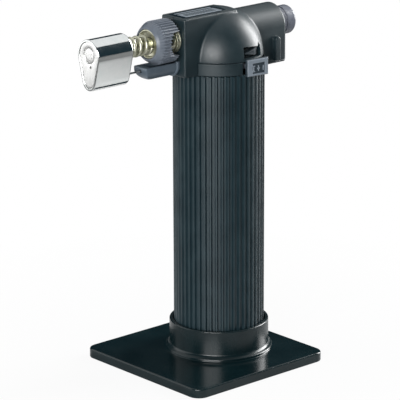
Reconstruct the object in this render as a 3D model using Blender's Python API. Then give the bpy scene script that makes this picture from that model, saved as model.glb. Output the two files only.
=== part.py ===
"""Butane torch for bench work, standing in a detachable square stand.

Metres, +Z up. The origin is on the tank's axis, at the underside of the stand. The burner points
along -X and the ignition button along +X. The flow lever is on the -Y side.
"""

import math

import bmesh
import bpy
from mathutils import Matrix, Vector

# ---------------------------------------------------------------- driving dimensions
GAP = 0.0003  # air between two pieces that touch on the real torch
SEAM = 0.00015  # half the gap between the two head shells

# stand
PLATE_SIDE = 0.072
PLATE_THICK = 0.0040
PLATE_CORNER = 0.0050
PLATE_SHIFT_X = -0.0079  # the plate reaches further under the burner
SOCKET_OUTER = 0.0209
SOCKET_INNER = 0.0194
SOCKET_TOP = 0.0168
SOCKET_BEAD = 0.0222
UNDERSIDE_DISC = 0.0215
UNDERSIDE_DEPTH = 0.0016
PLATE_RIM = 0.0035
PLATE_RIB = 0.0030

# tank and grip
GRIP_BOTTOM = PLATE_THICK + GAP
GRIP_TOP = 0.1252
GRIP_CREST = 0.0190
GRIP_GROOVE = 0.0183
GRIP_BORE = 0.0167
GRIP_RIBS = 48
RIB_FLANK_SHARE = 0.14  # share of one rib's pitch that each sloping flank takes
CUP_OUTER = 0.0163
CUP_INNER = 0.0146
CUP_BOTTOM = 0.0068
CUP_FLOOR = 0.0088
CUP_TOP = 0.1154
LID_BOTTOM = 0.1166
LID_TOP = 0.1196

# head
SEAM_Z = 0.1307  # where the head sits on the neck ring
NECK_RADIUS = 0.0187
NECK_BORE = 0.0169
DOME_RADIUS = 0.0184
DOME_RISE = 0.0199
WALL = 0.0018
BLOCK_FRONT = -0.0247
BLOCK_HALF = 0.0072
BLOCK_TOP = 0.1498
BLOCK_BOTTOM = 0.1255
BARREL_END = 0.0298
BARREL_HALF = 0.0089
BARREL_AXIS_Z = 0.1392
BARREL_BOTTOM = 0.1243
NECK_CLEAR = 0.0191
INSIDE_EDGE = 0.0020  # how far block and barrel reach past the tank's axis to overlap each other

# burner
NOZZLE_Z = 0.1408
SHROUD_FRONT = -0.0690
SHROUD_REAR = -0.0508
SHROUD_R = 0.0065
LOBE_R = 0.0040
LOBE_DROP = 0.0103
SHROUD_WALL = 0.0006
COLLAR_REAR = -0.0277
COLLAR_SHOULDER = -0.0354
COLLAR_FRONT = -0.0389
COLLAR_CREST = 0.0090
COLLAR_GROOVE = 0.0085
COLLAR_RIBS = 42
NOTCH_HALF = (0.0042, 0.0050)  # along the collar and up
NOTCH_X = -0.0288
NOTCH_OPEN = -0.0260  # past the rear rim, which the notch breaks
SPRING_RADIUS = 0.0035
SPRING_WIRE = 0.00085
SPRING_TURNS = 3.4
TUBE_OUTER = 0.0023
TUBE_BORE = 0.0017
CHAMBER_OUTER = 0.0050
CHAMBER_BORE = 0.0040
MOUTH_R = 0.0032
FRONT_PLATE = (SHROUD_FRONT + 0.0003, SHROUD_FRONT + 0.0011)
HOLDER_X = (SHROUD_FRONT + 0.0005, SHROUD_FRONT + 0.0022)
FLAME_TUBE_BORE = 0.0031
FLAME_TUBE_OUTER = 0.0038

# ignition
BUTTON_Z = 0.1396
BUTTON_END = 0.0388
BUTTON_R = 0.0061
BUTTON_BORE = 0.00475
BUTTON_EDGE = 0.0009  # radius of the edge round the button's end
BUTTON_RISE = 0.0005  # how far the end swells past that edge
BUTTON_FLANGE_R = 0.0069
BUTTON_FLANGE = (0.0246, 0.0262)
BUTTON_IN = 0.0201  # where the flange reaches when the button is pressed
ARM_HALF = 0.0040
ARM_TOP = 0.1319
ARM_BOTTOM = 0.1264
ARM_NOSE = -0.0424
ARM_TROUGH_END = -0.0391
ARM_TROUGH_HALF = 0.0030
ARM_FLANGE = (-0.0264, -0.0250)
ARM_ROOT = -0.0196
ELECTRODE_Z = 0.1302
SPARK_Y = -0.0010
SPARK_Z = 0.1364

# flow lever, angles about the tank's axis from +X
TAB_NORMAL = -97.0
TAB_FACES = (0.0191, 0.0206)  # distances from the axis of the tab's inner and outer face
TAB_ENDS = (-0.0003, 0.0105)  # along the tab from the foot of that normal
TAB_BOTTOM = 0.1247
TAB_TOP = 0.1319
LEVER_START = -80.0
LEVER_END = -70.0
SLOT_START = -100.4
SLOT_END = -20.0
WINDOW_X = (-0.0024, 0.0086)
WINDOW_Z = (0.1317, 0.1364)

# head screws: x, z, y of the head's seat
SCREWS = ((-0.0202, 0.1343, 0.0056), (0.0240, 0.1295, 0.0073), (0.0050, 0.1462, 0.0086))
BOSS_R = 0.0019
SCREW_HOLE = 0.00115
SCREW_SHANK = 0.00085
SCREW_HEAD_R = 0.0018
SCREW_HEAD_H = 0.0013

# material name: base colour, metallic, roughness
FINISHES = {
    "black_plastic": ((0.035, 0.042, 0.046), 0.0, 0.45),
    "gloss_black": ((0.012, 0.016, 0.018), 0.0, 0.18),
    "grey_plastic": ((0.13, 0.14, 0.16), 0.0, 0.4),
    "chrome": ((0.80, 0.82, 0.82), 1.0, 0.12),
    "steel": ((0.60, 0.60, 0.58), 1.0, 0.3),
    "brass": ((0.72, 0.66, 0.45), 1.0, 0.25),
    "ceramic": ((0.88, 0.87, 0.83), 0.0, 0.4),
    "rubber": ((0.02, 0.02, 0.02), 0.0, 0.8),
    "felt": ((0.75, 0.73, 0.68), 0.0, 0.95),
    "tank_plastic": ((0.62, 0.66, 0.68), 0.0, 0.3),
    "silver_label": ((0.45, 0.50, 0.56), 0.6, 0.35),
}


# ---------------------------------------------------------------- tools
def clear_scene():
    for obj in list(bpy.data.objects):
        bpy.data.objects.remove(obj)


def finish_of(name):
    """The material of that name, made the first time it is asked for."""
    if name in bpy.data.materials:
        return bpy.data.materials[name]
    colour, metallic, roughness = FINISHES[name]
    material = bpy.data.materials.new(name)
    material.use_nodes = True
    shader = material.node_tree.nodes["Principled BSDF"]
    shader.inputs["Base Color"].default_value = (*colour, 1.0)
    shader.inputs["Metallic"].default_value = metallic
    shader.inputs["Roughness"].default_value = roughness
    return material


def object_from(bm, name, finish, at=(0.0, 0.0, 0.0)):
    """A smooth-shaded object made from bm, its faces pointing out."""
    bmesh.ops.recalc_face_normals(bm, faces=bm.faces)
    mesh = bpy.data.meshes.new(name)
    bm.to_mesh(mesh)
    bm.free()
    mesh.materials.append(finish_of(finish))
    obj = bpy.data.objects.new(name, mesh)
    bpy.context.scene.collection.objects.link(obj)
    obj.location = at
    shade(obj)
    return obj


def shade(obj):
    obj.data.shade_smooth()
    obj.data.set_sharp_from_angle(angle=math.radians(35))


def turned(name, finish, profile, axis="Z", height=0.0, segments=32, at=(0.0, 0.0)):
    """A round piece: profile is a loop of (radius, distance along the axis), spun about Z, or about X.

    height is the axis's own z for a piece turned about X, and at is the x, y of a piece turned about Z.
    """
    bm = bmesh.new()
    if axis == "Z":
        points = [Vector((r, 0.0, d)) for r, d in profile]
        direction, place = Vector((0, 0, 1)), (*at, 0.0)
    else:
        points = [Vector((d, 0.0, r)) for r, d in profile]
        direction, place = Vector((1, 0, 0)), (0.0, 0.0, height)
    verts = [bm.verts.new(p) for p in points]
    for k, vert in enumerate(verts):
        after = (k + 1) % len(verts)
        if profile[k][0] > 0 or profile[after][0] > 0:
            bm.edges.new((vert, verts[after]))
    bmesh.ops.spin(
        bm,
        geom=list(bm.verts) + list(bm.edges),
        cent=(0, 0, 0),
        axis=direction,
        angle=2 * math.pi,
        steps=segments,
    )
    bmesh.ops.remove_doubles(bm, verts=bm.verts, dist=1e-6)
    return object_from(bm, name, finish, place)


def ring(name, finish, inner, outer, low, high, **where):
    return turned(name, finish, [(inner, low), (outer, low), (outer, high), (inner, high)], **where)


def rod(name, finish, radius, low, high, **where):
    return turned(name, finish, [(0, low), (radius, low), (radius, high), (0, high)], **where)


def extruded(name, finish, outline, low, high, along="Z"):
    """outline is a loop of two coordinates across the direction: (x, y), (y, z) along X or (x, z) along Y."""
    place = {
        "Z": lambda a, b, d: (a, b, d),
        "X": lambda a, b, d: (d, a, b),
        "Y": lambda a, b, d: (a, d, b),
    }[along]
    bm = bmesh.new()
    base = bm.faces.new([bm.verts.new(place(a, b, low)) for a, b in outline])
    made = bmesh.ops.extrude_face_region(bm, geom=[base])
    moved = [v for v in made["geom"] if isinstance(v, bmesh.types.BMVert)]
    bmesh.ops.translate(bm, verts=moved, vec=place(0.0, 0.0, high - low))
    return object_from(bm, name, finish)


def box(name, finish, x, y, z):
    """A box between the two values given for each direction."""
    outline = [(x[0], y[0]), (x[1], y[0]), (x[1], y[1]), (x[0], y[1])]
    return extruded(name, finish, outline, z[0], z[1])


def arc(centre, radius, start, end, steps):
    """Points on an arc, angles in degrees, both ends included."""
    angles = [math.radians(start + (end - start) * k / steps) for k in range(steps + 1)]
    return [(centre[0] + radius * math.cos(a), centre[1] + radius * math.sin(a)) for a in angles]


def rounded_square(side, radius, shift_x, steps=5):
    inner = side / 2 - radius
    corners = ((1, 1, 0), (-1, 1, 90), (-1, -1, 180), (1, -1, 270))
    outline = []
    for sx, sy, start in corners:
        outline += arc((shift_x + sx * inner, sy * inner), radius, start, start + 90, steps)
    return outline


def teardrop(shrink=0.0, steps=14):
    """The burner shroud's section in (y, z) from the nozzle's axis: a big circle over a small lobe."""
    big, small = SHROUD_R - shrink, LOBE_R - shrink
    lean = math.degrees(math.asin((big - small) / LOBE_DROP))
    top = arc((0.0, 0.0), big, -lean, 180 + lean, steps)
    return top + arc((0.0, -LOBE_DROP), small, 180 + lean, 360 - lean, steps // 2)


def arch(half, centre_z, bottom, steps=13):
    """A round-topped outline in (y, z) with straight sides."""
    return [(-half, bottom), (half, bottom), *arc((0.0, centre_z), half, 0, 180, steps)]


def sector(inner, outer, start, end, steps):
    """An annular sector in (x, y)."""
    return arc((0, 0), outer, start, end, steps) + arc((0, 0), inner, end, start, steps)


def toothed(crest, groove, count, flank):
    """A ring outline of (a, b) points with count flat-topped ribs."""
    pitch = 2 * math.pi / count
    land = 0.5 - flank
    outline = []
    for k in range(count):
        for share, radius in ((0, crest), (land, crest), (land + flank, groove), (1 - flank, groove)):
            angle = pitch * (k + share)
            outline.append((radius * math.cos(angle), radius * math.sin(angle)))
    return outline


def apply_modifiers(obj):
    graph = bpy.context.evaluated_depsgraph_get()
    mesh = bpy.data.meshes.new_from_object(obj.evaluated_get(graph))
    obj.modifiers.clear()
    obj.data = mesh
    shade(obj)
    return obj


def combine(body, operation, *others):
    """Boolean of body with each of the others, which are used up."""
    for other in others:
        modifier = body.modifiers.new(operation, "BOOLEAN")
        modifier.operation = operation
        modifier.object = other
        apply_modifiers(body)
        bpy.data.objects.remove(other)
    return body


def cut(body, *others):
    return combine(body, "DIFFERENCE", *others)


def join(body, *others):
    return combine(body, "UNION", *others)


def bevelled(obj, width, segments=2, angle=40):
    modifier = obj.modifiers.new("Bevel", "BEVEL")
    modifier.width = width
    modifier.segments = segments
    modifier.limit_method = "ANGLE"
    modifier.angle_limit = math.radians(angle)
    return apply_modifiers(obj)


def duplicate(obj, name):
    twin = obj.copy()
    twin.data = obj.data.copy()
    twin.name = name
    bpy.context.scene.collection.objects.link(twin)
    return twin


def wire(name, finish, points, radius, sides_level=1):
    """A round wire or pipe along points, as a curve with filled ends."""
    curve = bpy.data.curves.new(name, "CURVE")
    curve.dimensions = "3D"
    curve.bevel_depth = radius
    curve.bevel_resolution = sides_level
    curve.use_fill_caps = True
    spline = curve.splines.new("POLY")
    spline.points.add(len(points) - 1)
    for point, place in zip(spline.points, points):
        point.co = (*place, 1.0)
    curve.materials.append(finish_of(finish))
    obj = bpy.data.objects.new(name, curve)
    bpy.context.scene.collection.objects.link(obj)
    return obj


def coil(name, finish, radius, thick, start, end, turns, axis="Z", height=0.0, per_turn=14, sides_level=1):
    """A helical spring between start and end along Z, or along X at that height."""
    count = int(turns * per_turn)
    points = []
    for k in range(count + 1):
        angle = 2 * math.pi * turns * k / count
        along = start + (end - start) * k / count
        across, up = radius * math.cos(angle), radius * math.sin(angle)
        points.append((across, up, along) if axis == "Z" else (along, across, height + up))
    return wire(name, finish, points, thick, sides_level)


def smooth_route(stops, per_span):
    """Points on a Catmull-Rom curve through the stops."""
    ends = [Vector(p) for p in stops]
    ends = [2 * ends[0] - ends[1], *ends, 2 * ends[-1] - ends[-2]]
    route = []
    for a, b, c, d in zip(ends, ends[1:], ends[2:], ends[3:]):
        for k in range(per_span):
            t = k / per_span
            bend = (2 * a - 5 * b + 4 * c - d) * t * t + (3 * b - a - 3 * c + d) * t**3
            route.append(0.5 * (2 * b + (c - a) * t + bend))
    return [*route, ends[-2]]


def anchor(name, place):
    """An empty on a joint's axis."""
    empty = bpy.data.objects.new(name, None)
    empty.location = place
    bpy.context.scene.collection.objects.link(empty)
    bpy.context.view_layer.update()
    return empty


def carry(empty, *objects):
    """The objects move with the empty, and stay where they are."""
    for obj in objects:
        obj.parent = empty
        obj.matrix_parent_inverse = empty.matrix_world.inverted()


# ---------------------------------------------------------------- stand
def stand_base():
    """Square plate with a socket for the grip, moulded in one."""
    outline = rounded_square(PLATE_SIDE, PLATE_CORNER, PLATE_SHIFT_X)
    plate = bevelled(extruded("stand_base", "gloss_black", outline, 0.0, PLATE_THICK), 0.0005)
    bead_top = PLATE_THICK + 0.0013
    profile = [
        (0.0, PLATE_THICK - 0.001),
        (SOCKET_BEAD, PLATE_THICK - 0.001),
        (SOCKET_BEAD, PLATE_THICK + 0.0005),
        (SOCKET_BEAD - 0.0005, bead_top),
        (SOCKET_OUTER, bead_top),
        (SOCKET_OUTER, SOCKET_TOP - 0.0005),
        (SOCKET_OUTER - 0.0004, SOCKET_TOP),
        (SOCKET_INNER, SOCKET_TOP),
        (SOCKET_INNER, PLATE_THICK),
        (0.0, PLATE_THICK),
    ]
    join(plate, turned("socket", "gloss_black", profile, segments=48))
    pocket = rounded_square(PLATE_SIDE - 2 * PLATE_RIM, PLATE_CORNER, PLATE_SHIFT_X, steps=2)
    hollow = extruded("hollow", "gloss_black", pocket, -0.001, UNDERSIDE_DEPTH)
    cut(hollow, rod("disc", "gloss_black", UNDERSIDE_DISC, -0.002, 0.003, segments=40))
    reach, half = PLATE_SIDE, PLATE_RIB / 2
    cut(hollow, box("rib_x", "gloss_black", (-reach, reach), (-half, half), (-0.002, 0.003)))
    cut(hollow, box("rib_y", "gloss_black", (-half, half), (-reach, reach), (-0.002, 0.003)))
    return cut(plate, hollow)


# ---------------------------------------------------------------- tank and grip
def grip_sleeve():
    """Ribbed tube around the tank."""
    ribs = toothed(GRIP_CREST, GRIP_GROOVE, GRIP_RIBS, RIB_FLANK_SHARE)
    sleeve = extruded("grip_sleeve", "black_plastic", ribs, GRIP_BOTTOM, GRIP_TOP)
    return cut(sleeve, rod("bore", "black_plastic", GRIP_BORE, 0.0, GRIP_TOP + 0.01, segments=60))


def tank_cup():
    """The butane vessel, open at the top and with the fill valve's hole in its floor."""
    profile = [
        (0.0044, CUP_BOTTOM),
        (CUP_OUTER, CUP_BOTTOM),
        (CUP_OUTER, CUP_TOP),
        (CUP_INNER, CUP_TOP),
        (CUP_INNER, CUP_FLOOR),
        (0.0044, CUP_FLOOR),
    ]
    return turned("tank_cup", "tank_plastic", profile, segments=32)


def tank_lid():
    """Welded lid with a plug rim inside the cup and a bore for the outlet valve."""
    plug = CUP_INNER - GAP
    profile = [
        (0.0047, LID_BOTTOM - 0.0050),
        (0.0075, LID_BOTTOM - 0.0050),
        (0.0075, LID_BOTTOM - 0.0015),
        (plug - 0.0016, LID_BOTTOM - 0.0015),
        (plug - 0.0016, LID_BOTTOM - 0.0040),
        (plug, LID_BOTTOM - 0.0040),
        (plug, LID_BOTTOM),
        (CUP_OUTER, LID_BOTTOM),
        (CUP_OUTER, LID_TOP),
        (0.0047, LID_TOP),
    ]
    return turned("tank_lid", "tank_plastic", profile, segments=28)


def tank_parts():
    seal_low = CUP_TOP + GAP
    return [
        grip_sleeve(),
        tank_cup(),
        tank_lid(),
        ring("tank_seal", "rubber", 0.0148, 0.0160, seal_low, LID_BOTTOM - GAP, segments=32),
        ring("base_cap", "black_plastic", 0.0055, GRIP_BORE - GAP, 0.0045, 0.0065, segments=32),
    ]


def fill_valve():
    """Body, seal and spring stay in the tank's floor; the stem is pushed up by the refill can."""
    body = turned(
        "fill_valve_body",
        "brass",
        [
            (0.0027, 0.0051),
            (0.0041, 0.0051),
            (0.0041, 0.0091),
            (0.0055, 0.0091),
            (0.0055, 0.0106),
            (0.0041, 0.0106),
            (0.0041, 0.0180),
            (0.0008, 0.0180),
            (0.0008, 0.0166),
            (0.0027, 0.0166),
        ],
        segments=20,
    )
    stem = turned(
        "fill_valve_stem",
        "steel",
        [(0, 0.0048), (0.0010, 0.0048), (0.0010, 0.0086), (0.0022, 0.0086), (0.0022, 0.0098), (0, 0.0098)],
        segments=16,
    )
    seal = ring("fill_valve_seal", "rubber", 0.0013, 0.0024, 0.0072, 0.0082, segments=20)
    spring = coil("fill_valve_spring", "steel", 0.0019, 0.00022, 0.0104, 0.0162, 5, per_turn=12, sides_level=0)
    return [body, seal, spring], stem


# ---------------------------------------------------------------- outlet valve and gas pipe
def outlet_valve():
    body = turned(
        "outlet_valve_body",
        "brass",
        [
            (0.0007, 0.1050),
            (0.0044, 0.1050),
            (0.0044, LID_TOP + GAP),
            (0.0062, LID_TOP + GAP),
            (0.0062, 0.1214),
            (0.0044, 0.1214),
            (0.0044, 0.1252),
            (0.0023, 0.1252),
            (0.0023, 0.1072),
            (0.0007, 0.1072),
        ],
        segments=20,
    )
    gland = ring("valve_gland", "rubber", 0.0015, 0.0043, 0.1255, 0.1272, segments=24)
    spring = coil("outlet_valve_spring", "steel", 0.0017, 0.00025, 0.1076, 0.1128, 5, per_turn=12, sides_level=0)
    stem = turned(
        "outlet_valve_stem",
        "brass",
        [
            (0, 0.1132),
            (0.0019, 0.1132),
            (0.0019, 0.1148),
            (0.0012, 0.1148),
            (0.0012, 0.1287),
            (0.0032, 0.1287),
            (0.0032, 0.1297),
            (0.0012, 0.1297),
            (0.0012, 0.1330),
            (0, 0.1330),
        ],
        segments=20,
    )
    wick = rod("fuel_wick", "felt", 0.0022, 0.0210, 0.1047, segments=16)
    return [body, gland, spring, wick], stem


def gas_line():
    """The coupling over the valve's outlet and the pipe that bends forward to the nozzle."""
    coupling = turned(
        "valve_coupling",
        "brass",
        [(0, 0.1362), (0.0032, 0.1362), (0.0032, 0.1313), (0.0016, 0.1313), (0.0016, 0.1345), (0, 0.1345)],
        segments=20,
    )
    bend = 0.0042
    quarter = arc((-bend, NOZZLE_Z - bend), bend, 0, 90, 6)
    points = [(0.0, 0.0, 0.1365), *[(x, 0.0, z) for x, z in quarter], (-0.0127, 0.0, NOZZLE_Z)]
    return [coupling, wire("gas_pipe", "brass", points, 0.0014, 2)]


# ---------------------------------------------------------------- neck and flow lever
def neck_ring():
    """Ring under the head, open on the lever's side."""
    neck = ring("neck_ring", "black_plastic", NECK_BORE, NECK_RADIUS, GRIP_TOP + GAP, SEAM_Z - GAP, segments=60)
    slot = sector(0.012, 0.024, SLOT_START, SLOT_END, 20)
    return cut(neck, extruded("slot", "black_plastic", slot, 0.12, 0.14))


def flow_lever():
    """Hub clamped on the valve's spindle, arm through the neck's slot, and the thumb tab outside."""
    profile = [
        (0.0047, 0.1219),
        (0.0076, 0.1219),
        (0.0076, 0.1283),
        (0.0015, 0.1283),
        (0.0015, 0.1275),
        (0.0047, 0.1275),
    ]
    hub = turned("flow_lever", "grey_plastic", profile, segments=32)
    arm_low, arm_high = 0.1263, 0.1282
    middle_of_tab = (TAB_FACES[0] + TAB_FACES[1]) / 2
    outer = []
    for angle in (LEVER_END, LEVER_START):
        reach = middle_of_tab / math.cos(math.radians(angle - TAB_NORMAL))
        outer.append((reach * math.cos(math.radians(angle)), reach * math.sin(math.radians(angle))))
    outline = arc((0.0, 0.0), 0.0070, LEVER_START, LEVER_END, 4) + outer
    join(hub, extruded("arm", "grey_plastic", outline, arm_low, arm_high))
    turn = Matrix.Rotation(math.radians(TAB_NORMAL + 90), 4, "Z")
    tab = box("tab", "grey_plastic", TAB_ENDS, (-TAB_FACES[1], -TAB_FACES[0]), (TAB_BOTTOM, TAB_TOP))
    tab.data.transform(turn)
    bevelled(tab, 0.0004, angle=60)
    return join(hub, tab)


def flow_scale_plate():
    """Inset behind the head's window, with a raised wedge that shows which way opens the flow."""
    low, high = WINDOW_Z
    plate = extruded(
        "flow_scale_plate", "gloss_black", sector(0.0146, 0.0153, -114, -44, 18), low - 0.0008, high - 0.0012
    )
    middle = (low + high) / 2 + 0.0004
    wedge = [(-0.0004, middle), (0.0066, middle - 0.0014), (0.0066, middle + 0.0014)]
    solid = extruded("wedge", "gloss_black", wedge, -0.0164, -0.0145, along="Y")
    cut(solid, rod("behind", "gloss_black", 0.0150, 0.12, 0.15, segments=48))
    return join(plate, solid)


# ---------------------------------------------------------------- head
def dome(name, radius, rise, bottom, segments=40):
    curve = [
        (radius * math.cos(math.radians(a)), SEAM_Z + rise * math.sin(math.radians(a)))
        for a in range(0, 91, 10)
    ]
    curve[-1] = (0.0, curve[-1][1])
    solid = turned(name, "black_plastic", [(0.0, bottom), (radius, bottom), *curve], segments=segments)
    solid.data.transform(Matrix.Rotation(math.pi / segments, 4, "Z"))
    return solid


def head_outside():
    """Dome, burner block and button barrel in one skin."""
    skin = dome("head", DOME_RADIUS, DOME_RISE, SEAM_Z - 0.0001)
    block = box(
        "block",
        "black_plastic",
        (BLOCK_FRONT, INSIDE_EDGE),
        (-BLOCK_HALF, BLOCK_HALF),
        (BLOCK_BOTTOM, BLOCK_TOP),
    )
    barrel = extruded(
        "barrel",
        "black_plastic",
        arch(BARREL_HALF, BARREL_AXIS_Z, BARREL_BOTTOM),
        -INSIDE_EDGE,
        BARREL_END,
        along="X",
    )
    join(skin, bevelled(block, 0.0007), bevelled(barrel, 0.0006))
    join(skin, side_rib())
    return cut(skin, rod("neck_space", "black_plastic", NECK_CLEAR, 0.12, SEAM_Z - 0.00005, segments=60))


def side_rib():
    """Upright rib with a round top, on the flow lever's side near the barrel's end."""
    half, middle, top = 0.0014, 0.0237, 0.1359
    outline = [(middle - half, BARREL_BOTTOM + 0.0015), (middle + half, BARREL_BOTTOM + 0.0015)]
    outline += arc((middle, top - half), half, 0, 180, 8)
    return extruded("rib", "black_plastic", outline, -BARREL_HALF - 0.0020, -BARREL_HALF + 0.0010, along="Y")


def head_inside():
    """What the head's walls enclose. It is open downwards, over the tank."""
    space = dome("inside", DOME_RADIUS - WALL, DOME_RISE - WALL, SEAM_Z - 0.0020, segments=32)
    block = box(
        "block_inside",
        "black_plastic",
        (BLOCK_FRONT + WALL, INSIDE_EDGE),
        (-BLOCK_HALF + WALL, BLOCK_HALF - WALL),
        (BLOCK_BOTTOM + WALL, BLOCK_TOP - WALL),
    )
    barrel = extruded(
        "barrel_inside",
        "black_plastic",
        arch(BARREL_HALF - WALL, BARREL_AXIS_Z, BARREL_BOTTOM + WALL, steps=11),
        -INSIDE_EDGE,
        BARREL_END - WALL,
        along="X",
    )
    return join(space, block, barrel)


def cross_rod(name, x, z, radius, low, high, segments=16):
    """A rod along Y."""
    outline = arc((x, z), radius, 0, 360 - 360 / segments, segments - 1)
    return extruded(name, "black_plastic", outline, low, high, along="Y")


def head_shells():
    """The head's two halves, parted on the burner's plane, with bosses for the screws."""
    head = cut(head_outside(), head_inside())
    left = duplicate(head, "head_shell_left")
    head.name = "head_shell_right"
    span = (-0.05, 0.05)
    cut(head, box("left_side", "black_plastic", span, (-SEAM, 0.05), (0.1, 0.2)))
    cut(left, box("right_side", "black_plastic", span, (-0.05, SEAM), (0.1, 0.2)))
    finish_shell(head, -1)
    finish_shell(left, 1)
    return [head, left]


def button_room(name, radius, low, high):
    """Round space on the button's axis."""
    return rod(name, "black_plastic", radius, low, high, axis="X", height=BUTTON_Z, segments=32)


def finish_shell(shell, side):
    """Bosses, screw holes and openings of the half on that side of the burner's plane."""
    for x, z, seat in SCREWS:
        ends = sorted((side * SEAM, side * seat))
        join(shell, cross_rod("boss", x, z, BOSS_R, *ends))
    openings = [
        rod("nozzle_hole", "black_plastic", 0.0043, -0.028, -0.020, axis="X", height=NOZZLE_Z, segments=24),
        button_room("button_hole", BUTTON_R + GAP, BUTTON_FLANGE[1], BARREL_END + 0.001),
        button_room("button_seat", BUTTON_FLANGE_R + GAP, BUTTON_IN - GAP, BUTTON_FLANGE[1] + GAP),
        extruded("arm_hole", "black_plastic", arm_section(GAP), -0.028, ARM_ROOT + GAP, along="X"),
        box("window", "black_plastic", WINDOW_X, (-0.025, -0.0130), WINDOW_Z),
        box("label_recess", "black_plastic", (-0.0231, -0.0003), (-0.0050, 0.0050), (0.1492, 0.16)),
    ]
    cut(shell, *openings)
    for x, z, seat in SCREWS:
        cut(shell, cross_rod("hole", x, z, SCREW_HOLE, -0.0048, 0.02))
        if side > 0:
            cut(shell, cross_rod("counterbore", x, z, SCREW_HEAD_R + GAP, seat, 0.02))
    return shell


def head_screw(number, x, z, seat):
    """Cross-head screw along Y, its head on the -seat side of the left shell."""
    head_low = seat + 0.0001
    screw = cross_rod(f"head_screw_{number}", x, z, SCREW_SHANK, -0.0045, head_low + 0.0005, segments=12)
    join(screw, cross_rod("head", x, z, SCREW_HEAD_R, head_low, head_low + SCREW_HEAD_H, segments=20))
    arm, slot = 0.0011, 0.00028
    deep = (head_low + SCREW_HEAD_H - 0.0007, head_low + SCREW_HEAD_H + 0.001)
    cut(screw, box("slot_x", "steel", (x - arm, x + arm), deep, (z - slot, z + slot)))
    cut(screw, box("slot_z", "steel", (x - slot, x + slot), deep, (z - arm, z + arm)))
    screw.data.materials.clear()
    screw.data.materials.append(finish_of("steel"))
    return screw


def label_plate():
    """Plain plate in the recess on top of the block."""
    plate = box("label_plate", "silver_label", (-0.0228, -0.0006), (-0.0047, 0.0047), (0.1495, 0.1499))
    return plate


# ---------------------------------------------------------------- burner
def nozzle_base():
    """Holder for the jet, clamped in the block's front wall."""
    profile = [
        (0.0010, -0.0130),
        (0.0040, -0.0130),
        (0.0040, BLOCK_FRONT - GAP),
        (0.0056, BLOCK_FRONT - GAP),
        (0.0056, -0.0272),
        (0.0010, -0.0272),
    ]
    return turned("nozzle_base", "brass", profile, axis="X", height=NOZZLE_Z, segments=24)


def gas_jet():
    """Screwed jet with a fine orifice, inside the mixing chamber."""
    profile = [
        (0.00035, -0.0275),
        (0.0018, -0.0275),
        (0.0018, -0.0290),
        (0.0010, -0.0300),
        (0.0010, -0.0312),
        (0.00035, -0.0312),
    ]
    return turned("gas_jet", "brass", profile, axis="X", height=NOZZLE_Z, segments=16)


def burner_tube():
    """Mixing chamber with two air holes, and the tube that carries the mixture forward."""
    profile = [
        (CHAMBER_BORE, -0.0275),
        (CHAMBER_OUTER, -0.0275),
        (CHAMBER_OUTER, -0.0338),
        (TUBE_OUTER, -0.0338),
        (TUBE_OUTER, -0.0545),
        (TUBE_BORE, -0.0545),
        (TUBE_BORE, -0.0325),
        (CHAMBER_BORE, -0.0325),
    ]
    tube = turned("burner_tube", "brass", profile, axis="X", height=NOZZLE_Z, segments=24)
    return cut(tube, cross_rod("air_hole", -0.0300, NOZZLE_Z, 0.0015, -0.01, 0.01))


def collar_retainer():
    """Dished washer that keeps the collar on the tube and backs the spring."""
    profile = [
        (0.0026, -0.0364),
        (0.0059, -0.0364),
        (0.0059, -0.0386),
        (0.0055, -0.0386),
        (0.0050, -0.0374),
        (0.0026, -0.0370),
    ]
    return turned("collar_retainer", "brass", profile, axis="X", height=NOZZLE_Z, segments=28)


def air_collar():
    """Ribbed collar that turns to cover the air holes."""
    ribs = toothed(COLLAR_CREST, COLLAR_GROOVE, COLLAR_RIBS, 0.12)
    collar = extruded("air_collar", "grey_plastic", ribs, COLLAR_REAR, COLLAR_SHOULDER, along="X")
    nose = [
        (0.0, COLLAR_SHOULDER + 0.0010),
        (COLLAR_GROOVE - 0.0001, COLLAR_SHOULDER + 0.0010),
        (COLLAR_GROOVE - 0.0001, COLLAR_SHOULDER - 0.0004),
        (0.0079, -0.0372),
        (0.0071, -0.0384),
        (0.0064, COLLAR_FRONT),
        (0.0, COLLAR_FRONT),
    ]
    bore = [
        (0.0, -0.02),
        (0.0053, -0.02),
        (0.0053, -0.0342),
        (0.0027, -0.0342),
        (0.0027, -0.0361),
        (0.0061, -0.0361),
        (0.0061, -0.05),
        (0.0, -0.05),
    ]
    join(collar, turned("nose", "grey_plastic", nose, axis="X", segments=36))
    cut(collar, turned("bore", "grey_plastic", bore, axis="X", segments=32))
    for low, high in ((-0.02, -0.0005), (0.0005, 0.02)):
        notch = [(NOTCH_X + NOTCH_HALF[0] * a, NOTCH_HALF[1] * b) for a, b in arc((0.0, 0.0), 1.0, 90, 270, 14)]
        notch += [(NOTCH_OPEN, -NOTCH_HALF[1]), (NOTCH_OPEN, NOTCH_HALF[1])]
        cut(collar, extruded("notch", "grey_plastic", notch, low, high, along="Y"))
    collar.location = (0.0, 0.0, NOZZLE_Z)
    return collar


def heat_spring():
    """Open coil around the tube, between the retainer and the shroud."""
    ends = (-0.0388, SHROUD_REAR + SPRING_WIRE + GAP)
    return coil(
        "heat_spring",
        "brass",
        SPRING_RADIUS,
        SPRING_WIRE,
        ends[0],
        ends[1],
        SPRING_TURNS,
        axis="X",
        height=NOZZLE_Z,
        per_turn=16,
        sides_level=1,
    )


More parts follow.
